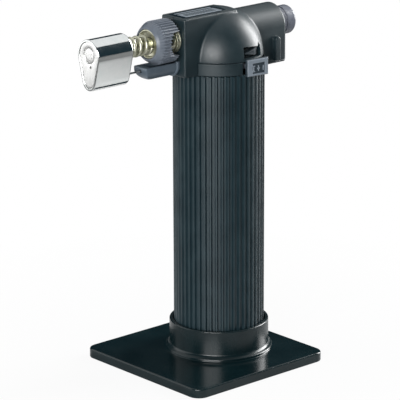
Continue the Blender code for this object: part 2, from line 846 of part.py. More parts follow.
def flame_shroud():
    """Drawn steel shell: closed behind, open in front, with its rim turned in."""
    shell = extruded("flame_shroud", "chrome", teardrop(), SHROUD_FRONT, SHROUD_REAR, along="X")
    bevelled(shell, 0.0005)
    inside = extruded(
        "inside", "chrome", teardrop(SHROUD_WALL), SHROUD_FRONT - 0.002, SHROUD_REAR - 0.0008, along="X"
    )
    cut(shell, inside)
    shell.location = (0.0, 0.0, NOZZLE_Z)
    holes = [
        rod("tube_hole", "chrome", TUBE_OUTER + GAP, -0.053, -0.048, axis="X", height=NOZZLE_Z, segments=24),
        rod("wire_hole", "chrome", 0.0009, -0.053, -0.048, axis="X", height=ELECTRODE_Z, segments=12),
    ]
    bpy.context.view_layer.update()
    return cut(shell, *holes)


def flame_plate():
    """Front plate inside the rim, with the flame's mouth and a hole for the spark electrode."""
    plate = extruded("flame_plate", "steel", teardrop(SHROUD_WALL + 0.0002), *FRONT_PLATE, along="X")
    plate.location = (0.0, 0.0, NOZZLE_Z)
    bpy.context.view_layer.update()
    spark = arc((SPARK_Y, SPARK_Z), 0.0007, 0, 330, 11)
    holes = [
        rod("mouth", "steel", MOUTH_R, -0.08, -0.06, axis="X", height=NOZZLE_Z, segments=28),
        extruded("spark_hole", "steel", spark, -0.08, -0.06, along="X"),
    ]
    return cut(plate, *holes)


def flame_parts():
    """Inner flame tube and the perforated disc that holds the flame."""
    tube = turned(
        "flame_tube",
        "steel",
        [
            (FLAME_TUBE_BORE, FRONT_PLATE[1] + 0.0009),
            (FLAME_TUBE_OUTER, FRONT_PLATE[1] + GAP),
            (FLAME_TUBE_OUTER, -0.0530),
            (0.0026, -0.0530),
            (0.0026, -0.0536),
            (FLAME_TUBE_BORE, -0.0542),
        ],
        axis="X",
        height=NOZZLE_Z,
        segments=24,
    )
    disc = rod("flame_holder", "steel", 0.0028, *HOLDER_X, axis="X", height=NOZZLE_Z, segments=20)
    holes = 6
    for k in range(holes):
        angle = 2 * math.pi * k / holes
        across, up = 0.0017 * math.cos(angle), 0.0017 * math.sin(angle)
        outline = arc((across, NOZZLE_Z + up), 0.0004, 0, 300, 5)
        cut(disc, extruded("hole", "steel", outline, -0.07, -0.06, along="X"))
    return [tube, disc]


# ---------------------------------------------------------------- ignition
def arm_section(grow=0.0):
    """The electrode arm's section in (y, z): flat top, round underside."""
    half = ARM_HALF + grow
    centre_z = ARM_BOTTOM + ARM_HALF
    return [(half, ARM_TOP + grow), (-half, ARM_TOP + grow), *arc((0.0, centre_z), half, 180, 360, 10)]


def electrode_arm():
    """Trough that carries the spark lead out under the burner."""
    arm = extruded("electrode_arm", "grey_plastic", arm_section(), ARM_NOSE, ARM_ROOT, along="X")
    flange = extruded("flange", "grey_plastic", arm_section(0.0005), *ARM_FLANGE, along="X")
    join(arm, flange)
    under = ARM_NOSE + 0.0053
    nose = [(ARM_NOSE - 0.001, 0.1300), (ARM_NOSE - 0.001, 0.12), (under, 0.12), (under, ARM_BOTTOM)]
    nose += arc((ARM_NOSE + 0.0047, 0.1310), 0.0047, 262, 200, 4)
    cut(arm, extruded("nose_cut", "grey_plastic", nose, -0.01, 0.01, along="Y"))
    half = ARM_TROUGH_HALF
    cut(arm, box("groove", "grey_plastic", (ARM_TROUGH_END, -0.01), (-half, half), (0.1294, 0.14)))
    hole = rod("hole", "grey_plastic", 0.0008, -0.05, -0.0385, axis="X", height=ELECTRODE_Z, segments=12)
    return cut(arm, hole)


def spark_parts():
    """Electrode rod, its ceramic sleeve in the shroud's lower lobe, and the lead from the piezo unit."""
    electrode = wire(
        "electrode",
        "steel",
        smooth_route(
            [
                (ARM_TROUGH_END - 0.0003, 0.0, ELECTRODE_Z),
                (-0.0520, 0.0, ELECTRODE_Z),
                (-0.0610, 0.0, ELECTRODE_Z),
                (-0.0630, -0.0002, 0.1316),
                (-0.0646, -0.0007, 0.1346),
                (-0.0662, SPARK_Y, SPARK_Z),
                (SHROUD_FRONT + 0.0004, SPARK_Y, SPARK_Z),
            ],
            3,
        ),
        0.0004,
    )
    insulator = ring(
        "electrode_insulator",
        "ceramic",
        0.0007,
        0.0016,
        -0.0600,
        -0.0519,
        axis="X",
        height=ELECTRODE_Z,
        segments=16,
    )
    lead_z = 0.1304
    lead = wire(
        "ignition_lead",
        "rubber",
        smooth_route(
            [
                (0.0066, 0.0, 0.1375),
                (0.0045, 0.0028, 0.1362),
                (0.0010, 0.0056, 0.1338),
                (-0.0060, 0.0052, 0.1326),
                (-0.0130, 0.0018, 0.1320),
                (-0.0185, 0.0, 0.1314),
                (-0.0235, 0.0, lead_z),
                (-0.0330, 0.0, lead_z),
                (ARM_TROUGH_END + 0.0003, 0.0, lead_z),
            ],
            4,
        ),
        0.0007,
    )
    return [electrode, insulator, lead]


def piezo_unit():
    """Case and clip in the barrel, the plunger that the button drives, and the return spring."""
    case = turned(
        "piezo_case",
        "tank_plastic",
        [
            (0, 0.0074),
            (0.0054, 0.0074),
            (0.0054, 0.0175),
            (0.0042, 0.0175),
            (0.0042, 0.0220),
            (0.0033, 0.0220),
            (0.0033, 0.0150),
            (0, 0.0150),
        ],
        axis="X",
        height=BUTTON_Z,
        segments=28,
    )
    clip = ring("piezo_clip", "steel", 0.0056, 0.0066, 0.0100, 0.0130, axis="X", height=BUTTON_Z, segments=20)
    plunger = rod("piezo_plunger", "steel", 0.0029, 0.0205, 0.0309, axis="X", height=BUTTON_Z, segments=20)
    spring = coil(
        "button_spring",
        "steel",
        0.0041,
        0.0003,
        0.0227,
        0.0306,
        5,
        axis="X",
        height=BUTTON_Z,
        sides_level=0,
    )
    return [case, clip, spring], plunger


def ignition_button():
    """Round push button with a rounded end and a flange that keeps it in the barrel."""
    shoulder = BUTTON_END - BUTTON_RISE - BUTTON_EDGE
    profile = [
        (BUTTON_BORE, BUTTON_FLANGE[0]),
        (BUTTON_FLANGE_R, BUTTON_FLANGE[0]),
        (BUTTON_FLANGE_R, BUTTON_FLANGE[1]),
        (BUTTON_R, BUTTON_FLANGE[1]),
        *arc((BUTTON_R - BUTTON_EDGE, shoulder), BUTTON_EDGE, 0, 90, 3),
        (BUTTON_R / 2, BUTTON_END - BUTTON_RISE / 4),
        (0, BUTTON_END),
        (0, 0.0312),
        (BUTTON_BORE, 0.0312),
    ]
    return turned("ignition_button", "grey_plastic", profile, axis="X", height=BUTTON_Z, segments=28)


# ---------------------------------------------------------------- assembly
def main():
    clear_scene()
    torch = anchor("torch_lift_axis", (0.0, 0.0, GRIP_BOTTOM))
    lever_axis = anchor("flow_lever_axis", (0.0, 0.0, 0.1283))
    collar_axis = anchor("air_collar_axis", (COLLAR_REAR, 0.0, NOZZLE_Z))
    button_axis = anchor("button_axis", (BARREL_END, 0.0, BUTTON_Z))
    fill_axis = anchor("fill_stem_axis", (0.0, 0.0, 0.0048))
    stand_base()
    fill_fixed, fill_stem = fill_valve()
    outlet_fixed, outlet_stem = outlet_valve()
    piezo_fixed, plunger = piezo_unit()
    fixed = tank_parts() + fill_fixed + outlet_fixed + gas_line() + head_shells() + piezo_fixed
    fixed += [neck_ring(), flow_scale_plate(), label_plate(), nozzle_base(), gas_jet(), burner_tube()]
    fixed += [collar_retainer(), heat_spring(), flame_shroud(), flame_plate(), electrode_arm()]
    fixed += flame_parts() + spark_parts()
    fixed += [head_screw(k + 1, *place) for k, place in enumerate(SCREWS)]
    bpy.context.view_layer.update()
    carry(torch, lever_axis, collar_axis, button_axis, fill_axis, *fixed)
    bpy.context.view_layer.update()
    carry(lever_axis, flow_lever(), outlet_stem)
    carry(collar_axis, air_collar())
    carry(button_axis, ignition_button(), plunger)
    carry(fill_axis, fill_stem)


main()
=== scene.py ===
import math

import bmesh
import bpy
import numpy as np
from mathutils import Matrix, Vector


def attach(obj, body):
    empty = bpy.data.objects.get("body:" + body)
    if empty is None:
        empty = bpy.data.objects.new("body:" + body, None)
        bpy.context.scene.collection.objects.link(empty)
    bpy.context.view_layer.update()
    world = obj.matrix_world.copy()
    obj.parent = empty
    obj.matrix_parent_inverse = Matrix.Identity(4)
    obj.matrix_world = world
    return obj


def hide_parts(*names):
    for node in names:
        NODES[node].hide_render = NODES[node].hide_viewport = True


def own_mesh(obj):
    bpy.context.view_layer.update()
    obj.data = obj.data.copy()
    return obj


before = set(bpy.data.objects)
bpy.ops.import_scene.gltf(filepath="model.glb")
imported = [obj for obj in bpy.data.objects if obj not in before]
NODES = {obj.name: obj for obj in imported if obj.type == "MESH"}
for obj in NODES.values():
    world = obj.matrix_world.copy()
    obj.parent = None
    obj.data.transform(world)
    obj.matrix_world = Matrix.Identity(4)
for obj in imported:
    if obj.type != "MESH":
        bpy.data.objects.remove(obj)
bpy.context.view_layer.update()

MM = 0.001

# ---------------- sizes in mm, as in the CAD
# The tank's axis is x = y = 0, the floor is z = 0, and the burner points to -X.
PLATE_SIDE, PLATE_CORNER, PLATE_THICK = 72.0, 5.0, 4.0
PLATE_SHIFT = -7.9
FOOT_RADIUS, SOCKET_RADIUS, SOCKET_BORE, SOCKET_TOP = 22.5, 20.9, 19.4, 16.8
GRIP_RIBS, GRIP_ROOT, RIB_HEIGHT = 48, 18.0, 1.0
GRIP_BOTTOM, GRIP_TOP, GRIP_BORE = 4.3, 125.2, 16.7
NECK_BOTTOM, NECK_RADIUS, NECK_BORE = 125.5, 18.7, 16.9
SEAM_Z = 130.7
DOME_RADIUS, DOME_RISE, HEAD_WALL = 18.4, 19.9, 1.8
BLOCK_FRONT, BLOCK_HALF, BLOCK_BOTTOM, BLOCK_TOP = -24.7, 7.2, 125.5, 149.8
BARREL_HALF, BARREL_BOTTOM, BARREL_CREST, BARREL_END = 8.9, 124.3, 139.2, 29.8
WINDOW = [(-2.4, 131.7), (8.6, 131.7), (8.6, 135.9), (7.6, 137.2), (6.6, 135.9), (-2.2, 136.7)]
SCREWS = ((-20.2, 134.3, 5.6), (24.0, 129.5, 7.3), (5.0, 146.2, 8.6))  # x, z and the head's seat in y
LABEL_X, LABEL_HALF, LABEL_Z = (-22.8, -0.6), 4.7, 149.5
NOZZLE_Z = 140.8
SHROUD_FRONT, SHROUD_REAR, SHROUD_WALL = -69.0, -50.8, 0.6
COLLAR_RIBS = 42
BUTTON_Z = 139.6
ARM_HALF, ARM_TOP, ARM_NOSE = 4.0, 131.9, -42.4
WIRE_Z = 130.2
TAB_ANGLE = math.radians(-97.0)
TAB_FACE, TAB_BACK, TAB_BOTTOM, TAB_TOP, TAB_LENGTH = 20.6, 19.1, 124.7, 131.9, 10.5
LEVER_START, LEVER_END = -80, -70  # degrees round the tank's axis


# ---------------- mesh tools
def rounded(points, radius, steps=5, closed=True):
    """The path with every corner turned into an arc. radius is one number, or one for each point."""
    count = len(points)
    radii = [radius] * count if np.isscalar(radius) else radius
    out = []
    for k in range(count):
        p = np.array(points[k], float)
        if radii[k] <= 0 or (not closed and k in (0, count - 1)):
            out.append(tuple(p))
            continue
        a, b = np.array(points[k - 1], float) - p, np.array(points[(k + 1) % count], float) - p
        la, lb = np.linalg.norm(a), np.linalg.norm(b)
        a, b = a / la, b / lb
        half = math.acos(max(-1.0, min(1.0, float(a @ b)))) / 2
        if half > math.radians(89):
            out.append(tuple(p))
            continue
        reach = min(radii[k] / math.tan(half), 0.48 * la, 0.48 * lb)
        r = reach * math.tan(half)
        middle = (a + b) / np.linalg.norm(a + b)
        centre = p + middle * (r / math.sin(half))
        start, end = p + a * reach - centre, p + b * reach - centre
        first = math.atan2(start[1], start[0])
        sweep = (math.atan2(end[1], end[0]) - first + math.pi) % (2 * math.pi) - math.pi
        for s in range(steps + 1):
            t = first + sweep * s / steps
            out.append((centre[0] + r * math.cos(t), centre[1] + r * math.sin(t)))
    return out


def arc(centre, radius, start, end, steps):
    """Points on an arc between two angles in degrees, both ends included."""
    angles = np.radians(np.linspace(start, end, steps + 1))
    return [(centre[0] + radius * math.cos(a), centre[1] + radius * math.sin(a)) for a in angles]


def link(obj):
    bpy.context.scene.collection.objects.link(obj)


def object_of(name, verts, faces):
    """Mesh object from points in mm."""
    mesh = bpy.data.meshes.new(name)
    mesh.from_pydata((np.asarray(verts, float) * MM).tolist(), [], faces)
    obj = bpy.data.objects.new(name, mesh)
    link(obj)
    tidy_normals(obj)
    return obj


def tidy_normals(obj):
    """Joins points that coincide, and turns every face outwards."""
    bm = bmesh.new()
    bm.from_mesh(obj.data)
    bmesh.ops.remove_doubles(bm, verts=bm.verts, dist=1e-7)
    bmesh.ops.recalc_face_normals(bm, faces=bm.faces)
    bm.to_mesh(obj.data)
    bm.free()


def loft(name, rings, wrap=False):
    """Skin over rings of equally many points. The ends get flat faces, or wrap joins last to first."""
    rings = [np.asarray(r, float) for r in rings]
    count = len(rings[0])
    verts = np.concatenate(rings)
    faces = []
    pairs = len(rings) if wrap else len(rings) - 1
    for k in range(pairs):
        a, b = k * count, ((k + 1) % len(rings)) * count
        for j in range(count):
            n = (j + 1) % count
            faces.append((a + j, a + n, b + n, b + j))
    if not wrap:
        faces.append(tuple(range(count - 1, -1, -1)))
        faces.append(tuple(range((len(rings) - 1) * count, len(rings) * count)))
    return object_of(name, verts, faces)


def ring_points(radii, angles, along, axis, centre):
    """Points round an axis: Z through centre (x, y), or X at height centre[2]."""
    radii = np.broadcast_to(radii, angles.shape)
    c, s = radii * np.cos(angles), radii * np.sin(angles)
    d = np.full_like(c, along)
    if axis == "Z":
        return np.stack([centre[0] + c, centre[1] + s, d], 1)
    return np.stack([d, centre[1] + c, centre[2] + s], 1)


def lathe(name, profile, axis="Z", centre=(0, 0, 0), segments=96, shape=None):
    """Spun profile of (radius, distance). It is a closed loop, or starts and ends on the axis.

    shape(radius, k, angles) may change the radius round the axis.
    """
    angles = np.linspace(0, 2 * math.pi, segments, endpoint=False)
    verts, starts = [], []
    for k, (r, d) in enumerate(profile):
        starts.append(sum(len(v) for v in verts))
        if r < 1e-6:
            verts.append(ring_points(0.0, angles[:1], d, axis, centre))
        else:
            radii = r if shape is None else shape(r, k, angles)
            verts.append(ring_points(radii, angles, d, axis, centre))
    faces = []
    for k in range(len(profile)):
        n = (k + 1) % len(profile)
        one, two = len(verts[k]) == 1, len(verts[n]) == 1
        if one and two:
            continue
        a, b = starts[k], starts[n]
        for j in range(segments):
            i = (j + 1) % segments
            if one:
                faces.append((a, b + i, b + j))
            elif two:
                faces.append((a + j, a + i, b))
            else:
                faces.append((a + j, a + i, b + i, b + j))
    return object_of(name, np.concatenate(verts), faces)


def prism(name, outline, low, high, along="Z"):
    """Outline drawn out between low and high. Its points are (x, y), (y, z) along X, or (x, z) along Y."""
    place = {
        "Z": lambda a, b, d: (a, b, d),
        "X": lambda a, b, d: (d, a, b),
        "Y": lambda a, b, d: (a, d, b),
    }[along]
    return loft(name, [[place(a, b, d) for a, b in outline] for d in (low, high)])


def block(name, x, y, z):
    """Box between two values on each axis."""
    return prism(name, [(x[0], y[0]), (x[1], y[0]), (x[1], y[1]), (x[0], y[1])], z[0], z[1])


def tube(name, points, radius, sides):
    """A round rod along points, closed at both ends with a rounded tip."""
    points = [Vector(p) for p in points]
    rings = []
    up = Vector((0.0, 0.0, 1.0))
    side = None
    for k, p in enumerate(points):
        ahead = (points[min(k + 1, len(points) - 1)] - points[max(k - 1, 0)]).normalized()
        side = (up.cross(ahead) if side is None else side - ahead * side.dot(ahead)).normalized()
        rings.append((p, ahead, side.copy()))
    tips = [(share, math.sqrt(1 - share * share) * radius) for share in (0.35, 0.72, 0.94)]
    first, last = rings[0], rings[-1]
    out = [(first[0] - first[1] * back, *first[1:], radius * share) for share, back in tips]
    out += [(*ring, radius) for ring in rings]
    out += [(last[0] + last[1] * back, *last[1:], radius * share) for share, back in reversed(tips)]
    loops = []
    for p, ahead, across, r in out:
        other = ahead.cross(across)
        turn = np.linspace(0, 2 * math.pi, sides, endpoint=False)
        loops.append([tuple(p + (across * math.cos(t) + other * math.sin(t)) * r) for t in turn])
    return loft(name, loops)


def boolean(body, operation, *others):
    """Joins, cuts or intersects body with each of the others in turn, and deletes them."""
    for other in others:
        modifier = body.modifiers.new(operation, "BOOLEAN")
        modifier.operation = operation
        modifier.solver = "EXACT"
        modifier.object = other
        graph = bpy.context.evaluated_depsgraph_get()
        mesh = bpy.data.meshes.new_from_object(body.evaluated_get(graph))
        body.modifiers.clear()
        body.data = mesh
        bpy.data.objects.remove(other)
    return body


def cut(body, *others):
    return boolean(body, "DIFFERENCE", *others)


def piece(obj, material, body, replaces=(), angle=40, weighted=True):
    """Finish, shading and place in the frame of one visible piece."""
    obj.data.materials.clear()
    obj.data.materials.append(material)
    obj.data.shade_smooth()
    obj.data.set_sharp_from_angle(angle=math.radians(angle))
    if weighted:
        modifier = obj.modifiers.new("Weighted normals", "WEIGHTED_NORMAL")
        modifier.keep_sharp = True
    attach(obj, body)
    if replaces:
        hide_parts(*replaces)
    return obj


# ---------------- solid fields, for moulded shapes
def smooth_min(a, b, k):
    """Union of two fields with a fillet of about k where they meet."""
    h = np.clip(0.5 + 0.5 * (b - a) / k, 0, 1)
    return b + (a - b) * h - k * h * (1 - h)


def both(a, b, r=0.0):
    """Inside both fields, with the edge between them rounded to r."""
    if r <= 0:
        return np.maximum(a, b)
    u, v = np.maximum(a + r, 0), np.maximum(b + r, 0)
    return np.minimum(np.maximum(a, b), -r) + np.sqrt(u * u + v * v)


def box_field(x, y, z, low, high, r):
    """Distance to a box with edges rounded to r."""
    centre = [(a + b) / 2 for a, b in zip(low, high)]
    half = [(b - a) / 2 - r for a, b in zip(low, high)]
    q = [np.abs(c - m) - h for c, m, h in zip((x, y, z), centre, half)]
    outside = np.sqrt(sum(np.maximum(c, 0) ** 2 for c in q))
    return outside + np.minimum(np.maximum(np.maximum(q[0], q[1]), q[2]), 0) - r


def net(name, field, low, high, cell):
    """Closed mesh round the place where the field is negative."""
    axes = [np.arange(a - 2 * cell, b + 3 * cell, cell) for a, b in zip(low, high)]
    grid = np.meshgrid(*axes, indexing="ij", sparse=True)
    value = np.broadcast_to(field(*grid), [len(a) for a in axes]).astype(np.float32)
    inside = value < 0
    shape = [n - 1 for n in value.shape]

    def corner(array, c):
        return array[tuple(slice(o, o + n) for o, n in zip(c, shape))]

    corners = [(i, j, k) for i in (0, 1) for j in (0, 1) for k in (0, 1)]
    count = sum(corner(inside, c).astype(np.int8) for c in corners)
    active = np.argwhere((count > 0) & (count < 8))
    number = np.full(shape, -1, np.int64)
    number[tuple(active.T)] = np.arange(len(active))
    total = np.zeros((len(active), 3))
    hits = np.zeros(len(active))
    for a in corners:
        for axis in range(3):
            if a[axis]:
                continue
            b = list(a)
            b[axis] = 1
            va = value[tuple((active + a).T)]
            vb = value[tuple((active + b).T)]
            cross = (va < 0) != (vb < 0)
            share = np.where(cross, va / np.where(cross, va - vb, 1), 0)
            place = np.tile(np.array(a, float), (len(active), 1))
            place[:, axis] = share
            total += place * cross[:, None]
            hits += cross
    start = np.array([a[0] for a in axes])
    points = start + (active + total / hits[:, None]) * cell
    step = cell * 0.05
    for _ in range(3):
        f = field(*points.T)
        slope = np.stack(
            [field(*(points + step * e).T) - field(*(points - step * e).T) for e in np.eye(3)], 1
        ) / (2 * step)
        move = -f[:, None] * slope / np.maximum((slope**2).sum(1), 0.2)[:, None]
        length = np.linalg.norm(move, axis=1, keepdims=True)
        points += move * np.minimum(1, 0.5 * cell / np.maximum(length, 1e-9))
    faces = []
    for axis in range(3):
        u, v = (axis + 1) % 3, (axis + 2) % 3
        near = [slice(1, n) for n in shape]
        near[axis] = slice(0, shape[axis])
        far = list(near)
        far[axis] = slice(1, shape[axis] + 1)
        one, two = inside[tuple(near)], inside[tuple(far)]
        change = np.argwhere(one != two)
        rising = one[tuple(change.T)]
        base = change.copy()
        base[:, u] += 1
        base[:, v] += 1
        quad = []
        for du, dv in ((0, 0), (1, 0), (1, 1), (0, 1)):
            cell_at = base.copy()
            cell_at[:, u] -= du
            cell_at[:, v] -= dv
            quad.append(number[tuple(cell_at.T)])
        quad = np.stack(quad, 1)
        quad[~rising] = quad[~rising][:, ::-1]
        faces.append(quad)
    return object_of(name, points, np.concatenate(faces).tolist())


# ---------------- materials
def srgb(r, g, b):
    return [((c / 255 + 0.055) / 1.055) ** 2.4 if c > 10 else c / 255 / 12.92 for c in (r, g, b)]


class Nodes:
    """Builds one node material. A socket's value is a number, a colour or another node's output."""

    def __init__(self, name):
        self.material = bpy.data.materials.new(name)
        self.material.use_nodes = True
        self.tree = self.material.node_tree
        self.shader = self.tree.nodes["Principled BSDF"]
        self.place = self.make("ShaderNodeTexCoord", "Object", {})

    def feed(self, socket, value):
        if isinstance(value, bpy.types.NodeSocket):
            self.tree.links.new(value, socket)
        else:
            socket.default_value = (*value, 1.0) if isinstance(value, (list, tuple)) else value

    def make(self, kind, output, values, **settings):
        """One output of a new node with these settings and socket values."""
        node = self.tree.nodes.new(kind)
        for key, value in settings.items():
            setattr(node, key, value)
        for key, value in values.items():
            self.feed(node.inputs[key], value)
        return node.outputs[output]

    def noise(self, size_mm, detail=2.0, rough=0.5, stretch=(1, 1, 1)):
        source = self.place
        if stretch != (1, 1, 1):
            mapping = self.tree.nodes.new("ShaderNodeMapping")
            mapping.inputs["Scale"].default_value = stretch
            self.feed(mapping.inputs["Vector"], source)
            source = mapping.outputs["Vector"]
        values = {"Scale": 1.0 / (size_mm * MM), "Detail": detail, "Roughness": rough, "Vector": source}
        return self.make("ShaderNodeTexNoise", "Fac", values)

    def spread(self, source, low, high, out_low=0.0, out_high=1.0):
        values = {"Value": source, "From Min": low, "From Max": high, "To Min": out_low, "To Max": out_high}
        return self.make("ShaderNodeMapRange", "Result", values)

    def math(self, operation, a, b):
        return self.make("ShaderNodeMath", 0, {0: a, 1: b}, operation=operation)

    def mix(self, share, a, b, blend_type="MIX"):
        values = {"Factor": share, 6: a, 7: b}
        return self.make("ShaderNodeMix", 2, values, data_type="RGBA", blend_type=blend_type)

    def bump(self, height, depth_mm, over=None):
        values = {"Strength": 1.0, "Distance": depth_mm * MM, "Height": height}
        if over is not None:
            values["Normal"] = over
        return self.make("ShaderNodeBump", "Normal", values)

    def part_of_place(self, axis):
        return self.make("ShaderNodeSeparateXYZ", axis, {0: self.place})

    def blend(self, a, b, share):
        """Weighted sum of two values, where share is the weight of a."""
        return self.math("ADD", self.math("MULTIPLY", a, share), self.math("MULTIPLY", b, 1 - share))

    def set(self, **values):
        for key, value in values.items():
            self.shader.inputs[key.replace("_", " ")].default_value = value

    def into(self, socket, source):
        self.feed(self.shader.inputs[socket], source)


def plastic(name, dark, light, rough, grain, depth, specular=0.5):
    """Moulded plastic with an eroded grain, faint blotches and dust-dulled patches."""
    m = Nodes(name)
    fine = m.noise(grain, 3.0, 0.6)
    patch = m.noise(9.0, 3.0, 0.6)
    speck = m.noise(0.9, 2.0, 0.7)
    tone = m.spread(m.blend(patch, fine, 0.7), 0.38, 0.62)
    m.into("Base Color", m.mix(tone, dark, light))
    m.into("Roughness", m.spread(m.blend(patch, speck, 0.5), 0.35, 0.65, *rough))
    m.into("Normal", m.bump(fine, depth))
    m.set(Specular_IOR_Level=specular)
    return m.material


def metal(name, dark, light, rough, scratch, depth, grime=3.0):
    """Metal with fine drawn lines, and tarnish in soft patches."""
    m = Nodes(name)
    lines = m.noise(0.5, 4.0, 0.65, scratch)
    patch = m.noise(grime, 4.0, 0.6)
    m.into("Base Color", m.mix(m.spread(patch, 0.35, 0.65), dark, light))
    m.into("Roughness", m.spread(m.blend(lines, patch, 0.6), 0.35, 0.65, *rough))
    m.into("Normal", m.bump(lines, depth))
    m.set(Metallic=1.0)
    return m.material


def gloss_black(name):
    """Polished black moulding, duller up the socket: faint flow marks, hairline rubs and dust."""
    m = Nodes(name)
    wave = m.noise(14.0, 2.0, 0.5)
    rub = m.noise(1.2, 5.0, 0.75, (1.0, 6.0, 1.0))
    speck = m.noise(0.35, 1.0, 0.5)
    m.into("Base Color", m.mix(m.spread(wave, 0.3, 0.7), srgb(6, 20, 23), srgb(11, 27, 30)))
    above_plate, up_the_foot = (PLATE_THICK + 0.1) * MM, (PLATE_THICK + 1.0) * MM
    socket = m.spread(m.part_of_place("Z"), above_plate, up_the_foot, 0.0, 0.10)
    worn = m.spread(m.blend(rub, wave, 0.6), 0.3, 0.75, 0.12, 0.21)
    m.into("Roughness", m.math("ADD", worn, socket))
    ripple = m.bump(wave, 0.02)
    m.into("Normal", m.bump(speck, 0.0009, over=ripple))
    m.set(Specular_IOR_Level=0.38)
    return m.material


def make_materials():
    """One material for each finish, each with its name, two tones and range of roughness.

    Plastics add the grain's size and depth in mm and the specular level, and metals the stretch and
    depth of their scratches and the size of their tarnish.
    """
    plastics = {
        "head": ("head_plastic", (18, 33, 38), (26, 41, 46), (0.38, 0.50), 0.22, 0.012),
        "grip": ("grip_plastic", (16, 34, 40), (24, 43, 49), (0.36, 0.5), 0.3, 0.012),
        # inset and wedge: dark tones that are partly their own colour and partly painted shade inside the
        # window
        "inset": ("inset_plastic_partly_painted_shade", (9, 19, 22), (13, 24, 28), (0.6, 0.8), 0.3, 0.006, 0.12),
        "wedge": ("wedge_plastic_partly_painted_shade", (30, 40, 46), (38, 48, 54), (0.5, 0.7), 0.3, 0.006, 0.2),
        "grey": ("grey_plastic", (86, 93, 103), (100, 107, 116), (0.32, 0.44), 0.25, 0.008),
        "button": ("button_plastic", (84, 88, 98), (96, 100, 110), (0.22, 0.34), 0.3, 0.003),
        "arm": ("arm_plastic", (66, 77, 87), (78, 89, 99), (0.28, 0.40), 0.25, 0.008),
        "rubber": ("rubber", (22, 22, 22), (30, 30, 30), (0.7, 0.85), 0.2, 0.01),
        "tank": ("tank_plastic", (150, 158, 162), (168, 175, 178), (0.25, 0.35), 0.6, 0.004),
        "felt": ("wick_felt", (190, 185, 172), (222, 216, 204), (0.9, 1.0), 0.4, 0.08),
        "ceramic": ("electrode_ceramic", (228, 226, 216), (240, 238, 230), (0.25, 0.4), 0.5, 0.004),
    }
    metals = {
        "chrome": ("chrome_plate", (0.80, 0.83, 0.82), (0.87, 0.88, 0.87), (0.08, 0.14), (12, 1, 1), 0.0006),
        "front": ("burner_front_nickel", (0.9, 0.9, 0.88), (0.95, 0.95, 0.94), (0.3, 0.42), (1, 1, 1), 0.002),
        "steel": ("plain_steel", (0.50, 0.50, 0.49), (0.62, 0.62, 0.60), (0.22, 0.36), (10, 1, 1), 0.002),
        "brass": ("pale_brass", (0.5, 0.5, 0.39), (0.66, 0.65, 0.52), (0.32, 0.46), (1, 10, 10), 0.002, 2.0),
    }
    made = {"gloss": gloss_black("stand_plastic"), "lever": lever_plastic_painted_shade("lever_plastic_painted_shade")}
    made["label"] = label_foil("label_foil")
    for key, (name, dark, light, *rest) in plastics.items():
        made[key] = plastic(name, srgb(*dark), srgb(*light), *rest)
    for key, values in metals.items():
        made[key] = metal(*values)
    return made


def lever_plastic_painted_shade(name):
    """Grey moulding of the thumb tab, with painted shade in the sunk panel: its colour turns darker below the
    tab's face.
    """
    m = Nodes(name)
    fine = m.noise(0.25, 3.0, 0.6)
    patch = m.noise(3.0, 3.0, 0.6)
    across = m.math("MULTIPLY", m.part_of_place("X"), math.cos(TAB_ANGLE))
    depth = m.math("ADD", across, m.math("MULTIPLY", m.part_of_place("Y"), math.sin(TAB_ANGLE)))
    # painted shade: the sunk panel is coloured dark, while the frame and the raised strokes keep the light
    # grey
    raised = m.spread(depth, (TAB_FACE - 0.38) * MM, (TAB_FACE - 0.20) * MM)
    light = m.mix(patch, srgb(104, 113, 122), srgb(120, 129, 138))
    m.into("Base Color", m.mix(raised, srgb(44, 54, 61), light))
    m.into("Roughness", m.spread(patch, 0.35, 0.65, 0.30, 0.42))
    m.into("Normal", m.bump(fine, 0.006))
    return m.material


def label_foil(name):
    """Brushed foil printed dark round a clear bar and a row of slanted strokes, which spell nothing."""
    m = Nodes(name)
    lines = m.noise(0.5, 4.0, 0.65, (1, 14, 1))
    x, y = (m.math("DIVIDE", m.part_of_place(axis), MM) for axis in "XY")

    def band(value, low, high):
        return m.math("MULTIPLY", m.math("GREATER_THAN", value, low), m.math("LESS_THAN", value, high))

    def box(x_low, x_high, y_low, y_high):
        return m.math("MULTIPLY", band(x, x_low, x_high), band(y, y_low, y_high))

    pitch, lean = 1.5, 0.35
    slant = m.math("ADD", x, m.math("MULTIPLY", y, lean))
    stroke = m.math("GREATER_THAN", m.math("FRACT", m.math("DIVIDE", slant, pitch), 0.0), 0.5)
    printed = m.math("MULTIPLY", box(-19.6, -3.4, -2.7, 0.7), stroke)
    row = m.math("MULTIPLY", box(-21.2, -1.4, -3.9, 1.7), m.math("SUBTRACT", 1.0, printed))
    clear = m.math("MAXIMUM", box(-21.2, -1.4, 2.5, 3.9), row)
    foil = m.mix(m.spread(lines, 0.35, 0.65), (0.50, 0.56, 0.62), (0.60, 0.66, 0.72))
    m.into("Base Color", m.mix(clear, (0.012, 0.020, 0.026), foil))
    dull = m.spread(lines, 0.3, 0.7, 0.62, 0.70)
    m.into("Roughness", m.math("SUBTRACT", dull, m.math("MULTIPLY", clear, 0.28)))
    m.into("Metallic", clear)
    m.into("Specular IOR Level", m.math("MULTIPLY", clear, 0.5))
    m.into("Normal", m.bump(lines, 0.002))
    return m.material


MAT = make_materials()


# ---------------- stand
def square_reach(angles, side, corner, shift_x):
    """Distance from the origin to a rounded square's edge at each angle, found by halving."""
    low, high = np.zeros_like(angles), np.full_like(angles, 90.0)
    half = side / 2 - corner
    for _ in range(44):
        middle = (low + high) / 2
        qx = np.abs(middle * np.cos(angles) - shift_x) - half
        qy = np.abs(middle * np.sin(angles)) - half
        outside = np.sqrt(np.maximum(qx, 0) ** 2 + np.maximum(qy, 0) ** 2)
        beyond = outside + np.minimum(np.maximum(qx, qy), 0) > corner
        high = np.where(beyond, middle, high)
        low = np.where(beyond, low, middle)
    return (low + high) / 2


